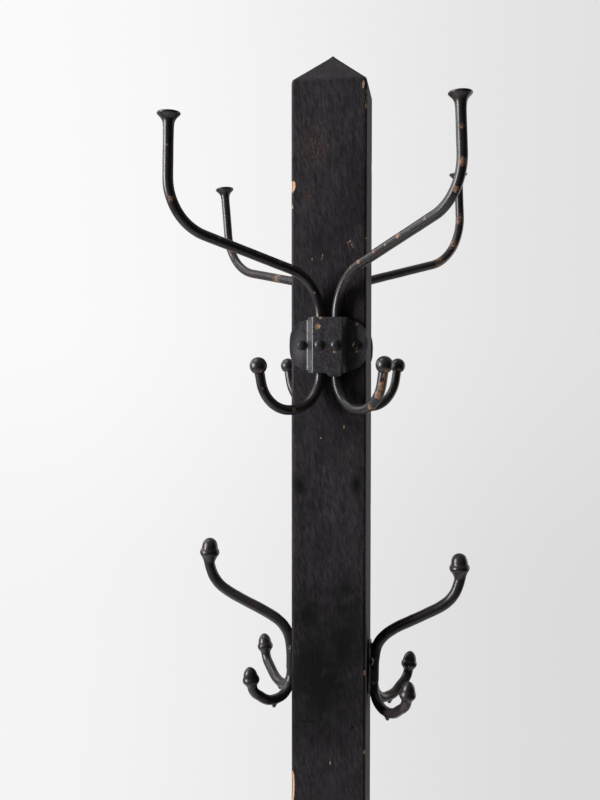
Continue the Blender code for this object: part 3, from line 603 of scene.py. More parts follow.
def chip_corner(point, chips, seed):
    """Cut a point back to the plane of a chip on its edge; returns how much of the chip is bare."""
    bare = 0.0
    for (sign_x, sign_y), centre, half_length, depth in chips:
        away = (point.z - centre) / half_length
        if abs(away) >= 1.0 or point.x * sign_x < 0 or point.y * sign_y < 0:
            continue
        ragged = noise.noise(Vector((point.z / 0.0025, seed, centre * 40))) * 0.35
        bite = depth * max(0.0, (1 - away * away) ** 0.5 * (1 + ragged))
        diagonal = Vector((sign_x, sign_y, 0)).normalized()
        edge = FACE * math.sqrt(2) - ARRIS * (math.sqrt(2) - 1)
        over = point.dot(diagonal) - (edge - bite)
        if over > 0:
            point -= diagonal * over
            bare = max(bare, min(1.0, over / 0.0004))
    return bare


def make_post():
    base = POST_LOW.z + 0.029
    rows = 620
    rings = [square_ring(TENON_HALF, 0.001, POST_LOW.z), square_ring(TENON_HALF, 0.001, base),
             square_ring(FACE - 0.0006, ARRIS, base)]
    for row in range(1, rows + 1):
        z = base + (SHOULDER_Z - 0.0002 - base) * row / rows
        eased = max(0.0, 1 - (SHOULDER_Z - z) / SHOULDER_EASE)
        rings.append(square_ring(FACE - SHOULDER_SOFTNESS * eased ** 2, ARRIS, z))
    slope_rows = 26
    for row in range(1, slope_rows + 1):
        share = (row / slope_rows) ** 0.9
        half = (FACE - SHOULDER_SOFTNESS) * (1 - share) + 0.0008 * share
        rings.append(square_ring(half, min(ARRIS, half * 0.6), SHOULDER_Z + PYRAMID_RISE * share))
    chips = [(signs, SHOULDER_Z - below, half_length, depth)
             for signs, below, half_length, depth in POST_CHIPS]
    bare = []
    for ring in rings:
        for point in ring:
            bare.append(chip_corner(point, chips, 1.0))
    post = loft("post_finished", rings, MATERIALS["post"])
    mesh = post.data
    # The timber's own unevenness: shallow dents and hollows, and small nicks along the arrises.
    normals = [vert.normal.copy() for vert in mesh.vertices]
    for vert, normal in zip(mesh.vertices, normals):
        if vert.co.z < base + 0.002:
            continue
        hollow = noise.noise(Vector((vert.co.x * 30, vert.co.y * 30, vert.co.z * 6)))
        nick = noise.noise(Vector((vert.co.x * 90 + 7, vert.co.y * 90, vert.co.z * 160)))
        corner = max(0.0, (abs(vert.co.x) + abs(vert.co.y)) / (2 * FACE) - 0.9) * 10
        sink = 0.00015 * (hollow + 1) / 2 + 0.0011 * corner * max(0.0, nick - 0.25)
        vert.co -= normal * sink
    wear = mesh.attributes.new("wear", 'FLOAT', 'POINT')
    values = []
    for vert, amount in zip(mesh.vertices, bare):
        edge = max(0.0, (abs(vert.co.x) + abs(vert.co.y)) / (2 * FACE) - 0.955) * 4
        values.append(max(amount, edge if vert.co.z < SHOULDER_Z else 0.0))
    wear.data.foreach_set("value", values)
    smooth(post, 50)
    return post


# === Feet ===

def beam_ring(x, low, high, half_width, rounding):
    """Points round a rectangular section across X."""
    corner_steps = 4
    corners = [(-half_width, low, -1, -1), (half_width, low, 1, -1), (half_width, high, 1, 1),
               (-half_width, high, -1, 1)]
    starts = [math.pi, 1.5 * math.pi, 0.0, 0.5 * math.pi]
    ring = []
    for (y, z, sign_y, sign_z), start in zip(corners, starts):
        centre = Vector((x, y - sign_y * rounding, z - sign_z * rounding))
        for step in range(corner_steps + 1):
            angle = start + math.pi / 2 * step / corner_steps
            ring.append(centre + Vector((0, math.cos(angle), math.sin(angle))) * rounding)
    dense = []
    cuts = 7
    for index, point in enumerate(ring):
        dense.append(point)
        if index % (corner_steps + 1) == corner_steps:
            after = ring[(index + 1) % len(ring)]
            dense.extend(point.lerp(after, step / cuts) for step in range(1, cuts))
    return dense


def foot_top(x):
    """Height of a foot's top above its underside: level over the middle, easing down to the toe."""
    toe_height, shoulder = 0.026, 0.195
    high = FOOT_TOP_Z - FOOT_LOW_Z
    share = (abs(x) - shoulder) / (FOOT_HALF_LENGTH - shoulder)
    if share <= 0:
        return high
    return toe_height + (high - toe_height) * (1 + math.cos(math.pi * min(1.0, share))) / 2


def make_foot(node, turn, lap_above):
    rounding = 0.0030
    rings = []
    steps = 150
    for index in range(steps + 1):
        x = -FOOT_HALF_LENGTH + 2 * FOOT_HALF_LENGTH * index / steps
        rings.append(beam_ring(x, FOOT_LOW_Z, FOOT_LOW_Z + foot_top(x), FOOT_HALF_WIDTH, rounding))
    # Rounded ends: two smaller rings just inside each end face
    for index, nudge in ((0, 1), (-1, -1)):
        x = rings[index][0].x
        toe = foot_top(x)
        for point in rings[index]:
            point.x += nudge * 0.0022
        end = beam_ring(x, FOOT_LOW_Z + 0.0022, FOOT_LOW_Z + toe - 0.0022, FOOT_HALF_WIDTH - 0.0022, 0.0012)
        middle = beam_ring(x + nudge * 0.0007, FOOT_LOW_Z + 0.0007, FOOT_LOW_Z + toe - 0.0007,
                           FOOT_HALF_WIDTH - 0.0007, 0.0022)
        if index == 0:
            rings = [end, middle] + rings
        else:
            rings = rings + [middle, end]
    foot = loft(node + "_finished", rings, MATERIALS["foot_x" if lap_above else "foot_y"])
    roughen(foot, 0.0004, 0.050, 4.0 + turn, inward=True)
    normals = [vert.normal.copy() for vert in foot.data.vertices]
    for vert, normal in zip(foot.data.vertices, normals):
        nick = noise.noise(Vector((vert.co.x * 150, vert.co.y * 60 + turn, vert.co.z * 60)))
        edge = max(0.0, abs(vert.co.y) / FOOT_HALF_WIDTH - 0.93) / 0.07
        top = FOOT_LOW_Z + foot_top(vert.co.x)
        upper = max(0.0, 1 - abs(top - vert.co.z) / 0.004)
        vert.co -= normal * 0.0016 * edge * upper * max(0.0, nick - 0.15)
    notch = FOOT_HALF_WIDTH + GAP
    lap = (FOOT_LOW_Z + FOOT_TOP_Z) / 2
    if lap_above:
        cut(foot, block("notch", (-notch, -0.06, lap), (notch, 0.06, FOOT_TOP_Z + 0.02), MATERIALS["foot_x"]))
    else:
        cut(foot, block("notch", (-notch, -0.06, 0.0), (notch, 0.06, lap + GAP), MATERIALS["foot_y"]))
        half = TENON_HALF + GAP
        cut(foot, block("mortise", (-half, -half, lap - 0.005), (half, half, FOOT_TOP_Z + 0.01),
                        MATERIALS["foot_y"]))
    foot.data.transform(Matrix.Rotation(turn, 4, 'Z'))
    spots = []
    for end in (-1, 1):
        spots.append((Matrix.Rotation(turn, 3, 'Z') @ Vector((end * FOOT_HALF_LENGTH, FOOT_HALF_WIDTH * end,
                                                              FOOT_LOW_Z + 0.024)), 0.013, 0.95))
        spots.append((Matrix.Rotation(turn, 3, 'Z')
                      @ Vector((end * (FOOT_HALF_LENGTH - 0.03), -FOOT_HALF_WIDTH * end,
                                                              FOOT_LOW_Z + 0.034)), 0.010, 0.85))
    mark_wear(foot, spots, 0.06)
    smooth(foot, 45)
    return foot


def make_brace(name, turn):
    """A coved brace with flat toes, its edges rounded over."""
    low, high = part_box("brace_right")
    reach, height = high.x - FACE - GAP, high.z - low.z
    thickness = high.y - low.y
    flat = 0.030
    cove_x, cove_z = reach - flat - BRACE_TOE, height - flat - BRACE_TOE
    outline = [(0, 0), (reach, 0), (reach, BRACE_TOE)]
    steps = 28
    for index in range(steps + 1):
        angle = math.pi / 2 * index / steps
        outline.append((BRACE_TOE + cove_x * (1 - math.sin(angle)),
                        BRACE_TOE + cove_z * (1 - math.cos(angle))))
    outline += [(BRACE_TOE, height), (0, height)]
    bm = bmesh.new()
    face = bm.faces.new([bm.verts.new((x, -thickness / 2, z)) for x, z in outline])
    grown = bmesh.ops.extrude_face_region(bm, geom=[face])["geom"]
    bmesh.ops.translate(bm, vec=(0, thickness, 0),
                        verts=[v for v in grown if isinstance(v, bmesh.types.BMVert)])
    brace = link(f"brace_{name}_finished", mesh_from(bm, "brace"), MATERIALS["brace"])
    round_edges(brace, 0.0016, 4, 50)
    roughen(brace, 0.0005, 0.030, 9.0 + turn, inward=True)
    place = Matrix.Rotation(turn, 4, 'Z') @ Matrix.Translation((FACE + GAP, 0, low.z))
    brace.data.transform(place)
    mark_wear(brace, [(place @ Vector((reach, thickness / 2, BRACE_TOE)), 0.008, 0.9)], 0.05)
    smooth(brace, 35)
    return brace


def make_pad(name):
    low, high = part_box("foot_pad_" + name)
    centre = (low + high) / 2
    radius, height = (high.x - low.x) / 2, high.z - low.z
    profile = [(0.0, 0.0052), (0.0058, 0.0052), (0.0062, 0.0048), (0.0062, 0.0004), (0.0066, 0.0),
               (radius - 0.0022, 0.0), (radius - 0.0010, 0.0003), (radius - 0.0003, 0.0010), (radius, 0.0022)]
    for step in range(1, 12):
        share = step / 12
        profile.append((radius - 0.0003 * abs(math.sin(share * math.pi * 4)),
                        0.0022 + (height - 0.0040) * share))
    profile += [(radius - 0.0002, height - 0.0012), (radius - 0.0012, height), (0.0, height)]
    pad = turned(f"foot_pad_{name}_finished", profile, 64, MATERIALS["leather"])
    pad.data.transform(Matrix.Translation((centre.x, centre.y, low.z)))
    smooth(pad, 40)
    return pad


# === Fasteners ===

def screw(name, head_radius, head_height, shank_radius, length, place, slot=0.48, seed=1.0, wear=0.2):
    """A round-head screw: its head's underside at the placement's origin, its shank below.

    slot is the height of its slot's floor as a share of the head's height, or None for a rivet."""
    profile = [(0.0, -length), (shank_radius * 0.4, -length * 0.93), (shank_radius, -length * 0.8),
               (shank_radius, 0.0), (head_radius * 0.96, 0.0), (head_radius, head_height * 0.10)]
    for step in range(0, 16):
        angle = math.radians(4 + step * 5.6)
        profile.append((head_radius * math.cos(angle), head_height * (0.16 + 0.84 * math.sin(angle))))
    profile.append((0.0, head_height))
    made = turned(name, profile, 40, MATERIALS["screw"])
    if slot:
        half = 0.00095
        cut(made, block("slot", (-head_radius * 1.2, -half, head_height * slot),
                        (head_radius * 1.2, half, head_height * 1.5), MATERIALS["screw"]))
        round_edges(made, 0.00018, 2, 50)
    roughen(made, 0.00008, 0.0030, seed)
    made.data.transform(place)
    mark_wear(made, [(place @ Vector((0, head_radius * 0.3, head_height)), head_radius * 1.1, wear)],
              wear * 0.5)
    smooth(made, 40)
    return made


def make_plate_fasteners(name, face):
    out = Vector((0, face, 0))
    ear = FACE + PLATE_THICKNESS + 2 * GAP
    box = FACE + BOX_LIFT + PLATE_THICKNESS + 2 * GAP
    tilt = {"left": 0.9, "right": math.radians(72)}
    slot = {"left": 0.86, "right": 0.42}
    for hand, side in (("left", -1), ("right", 1)):
        seat = Vector((side * EAR_SCREW, face * ear, PLATE_Z[name]))
        node = f"{name}_plate_screw_{hand}"
        made = screw(node + "_finished", 0.0056, 0.0042, SHANK, 0.036, aim(seat, out, tilt[hand]),
                     slot[hand], seed=side * 2.0 + face, wear=0.45 if hand == "right" else 0.15)
        # The left ear's screw takes a darker, rougher copy of the screw paint.
        if hand == "left":
            made.data.materials[0] = MATERIALS["dark_left_screw"]
        keep(made, node)
        seat = Vector((side * ROD_SPACING, face * box, PLATE_Z[name]))
        node = f"{name}_plate_rivet_{hand}"
        made = screw(node + "_finished", 0.0056, 0.0036, RIVET_RADIUS, box - FACE - GAP, aim(seat, out),
                     slot=None, seed=side * 3.0 + face, wear=0.3)
        keep(made, node)


def make_foot_fasteners():
    base = FOOT_TOP_Z + GAP
    brace_low, brace_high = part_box("brace_right")
    reach, height = brace_high.x - FACE - GAP, brace_high.z - brace_low.z
    for name, turn in FOUR_WAYS.items():
        side = Matrix.Rotation(turn, 4, 'Z')
        under = side @ Vector((0.245, 0, 0.0052 - GAP))
        high = side @ Vector((FACE + 2 * GAP + BRACE_TOE, 0, base + height - TOE_SCREW))
        low = side @ Vector((FACE + GAP + reach - TOE_SCREW, 0, base + BRACE_TOE + GAP))
        for node, place, sizes in (
                ("foot_pad_screw_" + name, aim(under, (0, 0, -1), turn + 0.4),
                 (0.0052, 0.0028, SHANK, 0.027)),
                ("brace_post_screw_" + name, aim(high, side @ Vector((1, 0, 0)), turn + 0.8),
                 (0.0052, 0.0034, SHANK, 0.048)),
                ("brace_foot_screw_" + name, aim(low, (0, 0, 1), turn * 0.7 + 0.5),
                 (0.0052, 0.0034, SHANK, 0.048))):
            keep(screw(node + "_finished", *sizes, place, seed=turn + 5, wear=0.3), node)


# === Hook plates and rods ===

def plate_lift(x):
    """How far the plate's back stands off the post at x: flat ears, sloping walls and a raised box."""
    total = 0.0
    for step in range(-4, 5):
        share = (BOX_FOOT_HALF - abs(x) + PLATE_BEND * step / 4) / (BOX_FOOT_HALF - BOX_TOP_HALF)
        total += min(1.0, max(0.0, share))
    return BOX_LIFT * total / 9


def lip_share(x):
    """How much of the bulging lip at the foot of the box there is at x, from 0 to 1."""
    return 1.0 - max(falloff(max(0.0, x + 0.0012), 0.0026), falloff(max(0.0, 0.0172 - x), 0.0026))


def plate_half_height(x):
    if abs(x) <= BOX_FOOT_HALF - 0.0005:
        return BOX_HALF_HEIGHT
    reach = (abs(x) - 0.014) / (PLATE_HALF_WIDTH - 0.014)
    return max(0.0035, EAR_HALF_HEIGHT * max(0.0, 1 - min(1.0, reach) ** 2.8) ** (1 / 2.8))


def plate_columns():
    columns = []
    ear_steps = 26
    for index in range(ear_steps + 1):
        columns.append(BOX_FOOT_HALF + (PLATE_HALF_WIDTH - BOX_FOOT_HALF) *
                       math.sin(math.pi / 2 * (1 - index / ear_steps)))
    fine = 24
    first, last = BOX_FOOT_HALF - 0.0002, BOX_TOP_HALF - PLATE_BEND
    columns += [first + (last - first) * index / fine for index in range(fine + 1)]
    middle = 20
    columns += [0.0155 - 0.0155 * index / (middle / 2) for index in range(middle // 2)]
    return [-x for x in columns] + [0.0] + list(reversed(columns))


def make_plate(name, face):
    """The pressed plate: a sheet over the columns, thickened and with its edges rounded."""
    rows = 30
    bm = bmesh.new()
    grid = []
    for x in plate_columns():
        half = plate_half_height(x)
        line = []
        for row in range(rows + 1):
            share = 2 * row / rows - 1
            z = half * share
            y = -(plate_lift(x) + GAP + PLATE_THICKNESS)
            if share < -0.7:
                lip = lip_share(x) * (-share - 0.7) / 0.3
                z -= 0.0038 * lip
                y -= 0.0008 * lip
            line.append(bm.verts.new((x, y, z)))
        grid.append(line)
    for line, following in zip(grid, grid[1:]):
        for row in range(rows):
            bm.faces.new((line[row], following[row], following[row + 1], line[row + 1]))
    mesh = bpy.data.meshes.new(name)
    bm.to_mesh(mesh)
    bm.free()
    plate = link(name + "_hook_plate_finished", mesh, MATERIALS["plate"])
    solid = plate.modifiers.new("sheet", 'SOLIDIFY')
    solid.thickness = PLATE_THICKNESS
    solid.offset = -1.0
    solid.use_even_offset = True
    round_edges(plate, 0.0008, 3, 55)
    roughen(plate, 0.00035, 0.011, 2.0 + face)
    roughen(plate, 0.00012, 0.0030, 5.0 + face)
    turn = Matrix.Rotation(0.0 if face < 0 else math.pi, 4, 'Z')
    place = Matrix.Translation((0, 0, PLATE_Z[name])) @ turn @ Matrix.Translation((0, -FACE, 0))
    plate.data.transform(place)
    spots = [((-0.0112, -0.016, 0.0215), 0.0075, 0.95), ((-0.008, -0.016, 0.0320), 0.0060, 0.80),
             ((0.0080, -0.016, -0.0080), 0.0046, 0.90), ((0.0330, -0.004, -0.0068), 0.0050, 0.85),
             ((0.0330, -0.004, 0.0240), 0.0075, 0.62), ((0.0150, -0.016, -0.0340), 0.0050, 0.70)]
    mark_wear(plate, [(place @ Vector(centre), radius, strength) for centre, radius, strength in spots], 0.05)
    smooth(plate, 35)
    return plate


def rod_paths(shape):
    """The arm and the hook of one rod, both from the middle of its plate outward."""
    side, face = shape["side"], shape["face"]
    axis = Vector((side * ROD_SPACING, face * ROD_Y, SHOULDER_Z))
    turns = []
    for degrees in shape["angles"]:
        angle = math.radians(degrees)
        turns.append(Matrix.Rotation(math.atan2(face * math.cos(angle), side * math.sin(angle)), 4, 'Z'))
    middle = PLATE_Z["front"] - SHOULDER_Z
    tip_out, tip_up = shape["tip"]
    elbow_out, elbow_up = shape["elbow"]
    arm = bent_path([(0, 0, middle), (0, 0, shape["fork"]), (elbow_out, 0, elbow_up), (tip_out, 0, tip_up)],
                    [shape["fork_bend"], shape["elbow_bend"]])
    hook_out, hook_up = shape["hook_tip"]
    turn, bottom = hook_out - HOOK_LEAN, shape["hook_bottom"]
    hook = bent_path([(0, 0, middle), (0, 0, bottom), (turn, 0, bottom), (hook_out, 0, hook_up)],
                     [turn / 1.87, turn / 1.89])
    return [axis + turns[0] @ point for point in arm], [axis + turns[1] @ point for point in hook]


def along(path, distance):
    """The point that lies a distance along a path."""
    for before, after in zip(path, path[1:]):
        step = (after - before).length
        if distance <= step:
            return before.lerp(after, distance / step)
        distance -= step
    return path[-1].copy()


# Rubbed places on each rod: (arm or hook, metres along it from the plate's middle, which side of the
# bar, radius, strength)
ROUND = Vector((0.0, 0.0, 0.0))
UPPER = Vector((-0.60, -0.76, 0.25))
TOP = Vector((-0.10, -0.80, 0.59))
LOWER_RIGHT = Vector((0.60, -0.75, -0.25))
FRONT = Vector((0.10, -0.99, 0.0))
ROD_WEAR = {
    "front_left": [
        ("arm", 0.062, FRONT, 0.0055, 0.75), ("arm", 0.105, TOP, 0.0075, 0.78),
        ("arm", 0.121, TOP, 0.0080, 0.80),
        ("arm", 0.150, TOP, 0.0090, 0.66), ("arm", 0.205, TOP, 0.0110, 0.62),
        ("arm", 0.280, FRONT, 0.0100, 0.66),
        ("arm", 0.335, FRONT, 0.0080, 0.60), ("hook", 0.096, FRONT, 0.0075, 0.84),
        ("hook", 0.150, FRONT, 0.0060, 0.62)],
    "front_right": [
        ("arm", 0.0800, LOWER_RIGHT, 0.0042, 1.05), ("arm", 0.0980, UPPER, 0.0050, 0.70),
        ("arm", 0.1120, UPPER, 0.0052, 1.20), ("arm", 0.1400, UPPER, 0.0050, 1.00),
        ("arm", 0.1600, UPPER, 0.0060, 0.62),
        ("arm", 0.1810, UPPER, 0.0062, 0.95), ("arm", 0.2250, UPPER, 0.0070, 0.66),
        ("arm", 0.2716, FRONT, 0.0075, 0.92),
        ("arm", 0.3000, FRONT, 0.0120, 0.84), ("arm", 0.3350, FRONT, 0.0080, 0.62),
        ("hook", 0.0900, FRONT, 0.0060, 0.66), ("hook", 0.1180, FRONT, 0.0070, 0.92),
        ("hook", 0.1380, FRONT, 0.0110, 0.98), ("hook", 0.1500, LOWER_RIGHT, 0.0125, 1.12),
        ("hook", 0.1620, LOWER_RIGHT, 0.0090, 1.00)],
    "back_left": [
        ("arm", 0.1550, ROUND, 0.0260, 0.62), ("arm", 0.1980, ROUND, 0.0190, 0.56),
        ("arm", 0.2660, ROUND, 0.0200, 0.58),
        ("hook", 0.1500, ROUND, 0.0130, 0.70)],
    "back_right": [
        ("arm", 0.1240, ROUND, 0.0140, 0.52), ("arm", 0.2300, ROUND, 0.0330, 0.64),
        ("arm", 0.2700, ROUND, 0.0260, 0.66),
        ("arm", 0.3100, ROUND, 0.0260, 0.62), ("hook", 0.1500, ROUND, 0.0130, 0.50)],
}
ROD_TARNISH = {"front_left": 0.16, "front_right": 0.10, "back_left": 0.36, "back_right": 0.38}


def make_rod(name, shape, seed):
    arm, hook = rod_paths(shape)
    tip = hook[-1]
    back = (hook[-2] - tip).normalized()
    seat = BALL_SEAT + 0.0006
    lower = [(point, ROD_RADIUS) for point in hook[1:] if (point - tip).length > seat + 0.0012]
    lower += [(tip + back * seat, ROD_RADIUS), (tip + back * (seat - 0.0003), ROD_RADIUS - 0.0004),
              (tip + back * (BALL_SEAT + GAP), SPIGOT_RADIUS), (tip + back * 0.0028, SPIGOT_RADIUS),
              (tip + back * 0.0024, SPIGOT_RADIUS - 0.0004)]
    stations = list(reversed(lower)) + shaped_end(arm, FLARED_HEAD, ROD_RADIUS)
    rod = bar(name + "_rod_finished", stations, MATERIALS["rod"])
    roughen(rod, 0.00014, 0.018, seed)
    roughen(rod, 0.00002, 0.0060, seed + 1)
    paths = {"arm": arm, "hook": hook}
    spots = [(along(paths[part], distance) + side * ROD_RADIUS, radius, strength)
             for part, distance, side, radius, strength in ROD_WEAR[name]]
    mark_wear(rod, spots, ROD_TARNISH[name])
    smooth(rod, 50)
    keep(rod, name + "_rod")

    hole = SPIGOT_RADIUS + GAP
    seat_radius = math.sqrt(BALL_RADIUS ** 2 - BALL_SEAT ** 2)
    low = math.degrees(math.asin(-BALL_SEAT / BALL_RADIUS))
    profile = [(0.0, -0.0020), (hole, -0.0020), (hole, -BALL_SEAT), (seat_radius - 0.0004, -BALL_SEAT)]
    steps = 28
    for index in range(steps):
        angle = math.radians(low + (90 - low) * index / steps)
        profile.append((BALL_RADIUS * math.cos(angle), BALL_RADIUS * math.sin(angle)))
    profile.append((0.0, BALL_RADIUS))
    ball = turned(name + "_ball_knob_finished", profile, 48, MATERIALS["rod"])
    roughen(ball, 0.00018, 0.0090, seed + 2, inward=True)
    ball.data.transform(aim(tip, -back))
    worn = 0.95 if name == "front_right" else 0.6
    mark_wear(ball, [(tip + Vector((0.0035, -0.0060, -0.0070)), 0.0075, worn)], 0.12)
    smooth(ball, 50)
    keep(ball, name + "_ball_knob")


# === Cast triple hooks ===

def casting_bars(name, side):
    arm = bent_path([(0.0066, 0, -0.0260), (0.0066, 0, 0.0285), (0.1117, 0, 0.0798), (0.1095, 0, 0.1349)],
                    [0.036, 0.037])
    arm = relaxed(arm, 90, 0.0315)
    bars = {"arm": shaped_end(arm, UPPER_ACORN, 0.0066)}
    root = Vector((0.0066, 0, 0))
    for hand, lateral in (("front", -side * PRONG_LATERAL), ("back", side * PRONG_LATERAL)):
        out, up = PRONG_TIPS[name][hand]
        across = Vector((out - root.x, lateral, 0))
        reach, heading = across.length, across.normalized()
        bottom = PRONG_BOTTOM[name][hand]
        spots = [(0.0, -0.0080), (0.0, bottom), (0.0420, bottom), (reach - 0.0065, up - PRONG_NECK),
                 (reach, up)]
        path = bent_path([root + heading * reach_out + Vector((0, 0, height)) for reach_out, height in spots],
                         [0.026, 0.038, 0.018])
        bars["prong_" + hand] = shaped_end(path, PRONG_ACORN, 0.0061)
    return bars


def make_casting(name, side, seed):
    place = Matrix.Translation((0, CASTING_SHIFT[name], CASTING_Z[name])) @ Matrix.Rotation(
        0.0 if side > 0 else math.pi, 4, 'Z') @ Matrix.Translation((FACE, 0, 0))
    rings = []
    for out, shrink in ((GAP, 0.0), (CASTING_PLATE - 0.0010, 0.0), (CASTING_PLATE - 0.0003, 0.0004),
                        (CASTING_PLATE, 0.0012)):
        ring = []
        for index in range(64):
            angle = 2 * math.pi * index / 64
            ring.append(Vector((out,
                                (0.0220 - shrink)
                                * math.copysign(abs(math.cos(angle)) ** 0.7, math.cos(angle)),
                                (0.0330 - shrink)
                                * math.copysign(abs(math.sin(angle)) ** 0.8, math.sin(angle))
                                - 0.0080)))
        rings.append(ring)
    parts = [loft("plate", rings, MATERIALS["casting"])]
    for bar_name, stations in casting_bars(name, side).items():
        parts.append(bar(bar_name, stations, MATERIALS["casting"]))
        if bar_name.startswith("prong"):
            low = min((point for point, radius in stations), key=lambda point: point.z)
            low = low + Vector((NUB_SHIFT[0], math.copysign(NUB_SHIFT[1], low.y), 0.0))
            nub = [(low + Vector((0, 0, height)), radius) for height, radius in
                   ((-0.0102, 0.0010), (-0.0096, 0.0018), (-0.0080, 0.0026), (-0.0040, 0.0044),
                     (-0.0022, 0.0050))]
            parts.append(bar("nub", nub, MATERIALS["casting"], 20))
    bm = bmesh.new()
    for part in parts:
        bm.from_mesh(part.data)
        bpy.data.objects.remove(part, do_unlink=True)
    mesh = bpy.data.meshes.new(name)
    bm.to_mesh(mesh)
    bm.free()
    hook = link(name + "_cast_hook_finished", mesh, MATERIALS["casting"])
    skin = hook.modifiers.new("skin", 'REMESH')
    skin.mode = 'VOXEL'
    skin.voxel_size = 0.0008
    soften = hook.modifiers.new("fillets", 'SMOOTH')
    soften.factor = 0.5
    soften.iterations = 9
    apply_modifiers(hook)
    hook.data.materials.clear()
    hook.data.materials.append(MATERIALS["casting"])
    roughen(hook, 0.00030, 0.012, seed)
    roughen(hook, 0.00006, 0.0026, seed + 1)
    hook.data.transform(place)
    mark_wear(hook, [(place @ Vector(centre), radius, strength)
                     for centre, radius, strength in CASTING_WEAR[name]],
              0.12)
    smooth(hook, 60)
    keep(hook, name + "_cast_hook")

    out = place.to_3x3() @ Vector((1, 0, 0))
    for hand, lateral in (("front", -CASTING_SCREW_SIDE), ("back", CASTING_SCREW_SIDE)):
        seat = place @ Vector((CASTING_PLATE + 2 * GAP, lateral * side, CASTING_SCREW_Z))
        node = f"{name}_cast_hook_screw_{hand}"
        made = screw(node + "_finished", 0.0050, 0.0038, SHANK, 0.032, aim(seat, out, 0.5 + lateral * 40),
                     seed=seed + lateral, wear=0.3)
        keep(made, node)


CASTING_WEAR = {
    "left": [((0.030, 0.0, 0.045), 0.006, 0.6)],
    "right": [((0.045, 0.0, 0.047), 0.006, 0.8), ((0.085, 0.0, 0.066), 0.008, 0.7)],
}


# === Putting it together ===

def keep(obj, node):
    """The finished piece stands for its node: it rides on the root body, and the node's own part is hidden.
    """
    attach(obj, "root")
    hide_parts(node)


def front(x, below):
    """A place on the post's front face, from its sideways position and its drop below the shoulder."""
    return (x, -FACE, SHOULDER_Z - below)


# Darker patches low on the post's front face: (centre, radii)
POST_DARK_PATCHES = [
    (front(-0.006, 0.705), (0.075, 0.02, 0.120)),
    (front(-0.018, 0.690), (0.048, 0.02, 0.085)), (front(-0.026, 0.632), (0.028, 0.02, 0.050)),
    (front(0.018, 0.665), (0.040, 0.02, 0.080)), (front(-0.034, 0.476), (0.012, 0.02, 0.018)),
    (front(0.033, 0.474), (0.010, 0.02, 0.020)), (front(0.020, 0.610), (0.034, 0.02, 0.045)),
]
POST_STAINS = [(front(-0.014, 0.078), (0.020, 0.02, 0.036)), (front(-0.024, 0.135), (0.010, 0.02, 0.020))]
POST_RUBS = [
    (front(0.0222, 0.1905), (0.0011, 0.004, 0.0036)), (front(0.0248, 0.1893), (0.0013, 0.004, 0.0027)),
    (front(0.0270, 0.1928), (0.0012, 0.004, 0.0036)), (front(0.0287, 0.1952), (0.0008, 0.004, 0.0022)),
    (front(-0.0082, 0.2085), (0.0009, 0.004, 0.0030)), (front(-0.0074, 0.2050), (0.0010, 0.004, 0.0034)),
    (front(-0.0198, 0.2090), (0.0010, 0.004, 0.0034)), (front(0.0182, 0.4062), (0.0016, 0.004, 0.0050)),
    (front(-0.0090, 0.4195), (0.0016, 0.004, 0.0022)), (front(0.0022, 0.8089), (0.0012, 0.004, 0.0048)),
    (front(0.0400, 0.0075), (0.0030, 0.004, 0.0066)), (front(0.0396, 0.0110), (0.0024, 0.004, 0.0050)),
    (front(0.0420, 0.0290), (0.0014, 0.004, 0.0090)),
]
# Dents low on the front face, bumped in and darkened with painted shade: (centre, radii)
POST_DENTS = [(front(-0.0220, 0.7603), (0.0175, 0.004, 0.0017)),
              (front(0.0297, 0.7650), (0.0042, 0.004, 0.0036))]

MATERIALS = {
    "post": painted_wood("post_paint", 2, POST_DARK_PATCHES, POST_RUBS, POST_STAINS, POST_DENTS),
    "foot_x": painted_wood("foot_paint_x", 0),
    "foot_y": painted_wood("foot_paint_y", 1),
    "brace": painted_wood("brace_paint", 2),
    # The plate's last argument paints a sheen on the front plate's left ear, where it catches the light.
    "plate": black_iron("plate_paint", (0.0180, 0.0165, 0.0200), 0.33, 420.0, 0.0004,
                        ((0.085, 0.045, 0.028), (0.50, 0.32, 0.17)), 0.74,
                        {"scale": (640.0, 640.0, 250.0), "turn": (0.0, math.radians(32), 0.0),
                         "pale": (0.0820, 0.0765, 0.0875)}, None,
                        [((-0.034, -FACE, PLATE_Z["front"] - 0.004), (0.011, 0.02, 0.024))]),
    "rod": black_iron("rod_paint", (0.0105, 0.0096, 0.0122), 0.32, 160.0, 0.00004,
                      ((0.075, 0.040, 0.027), (0.36, 0.200, 0.115)), 0.77, None, (0.024, 0.0140, 0.0112)),
    "casting": black_iron("casting_paint", (0.0120, 0.0110, 0.0134), 0.32, 420.0, 0.0001,
                          ((0.060, 0.027, 0.017), (0.30, 0.150, 0.085)), 0.75, None, (0.026, 0.0160, 0.0135)),
    "screw": black_iron("screw_paint", (0.0120, 0.0110, 0.0128), 0.40, 600.0, 0.0002,
                        ((0.080, 0.036, 0.021), (0.36, 0.180, 0.090)), 0.75),
    # A darker, rougher copy of the screw paint, for the left ear's screw.
    "dark_left_screw": black_iron("dark_left_screw_paint", (0.0050, 0.0045, 0.0052), 0.58, 600.0, 0.0002,
                        ((0.060, 0.030, 0.020), (0.22, 0.120, 0.070)), 0.80),
    "leather": brown_leather("leather_pad"),
    "bright": bright_steel("zinc_plate"),
}


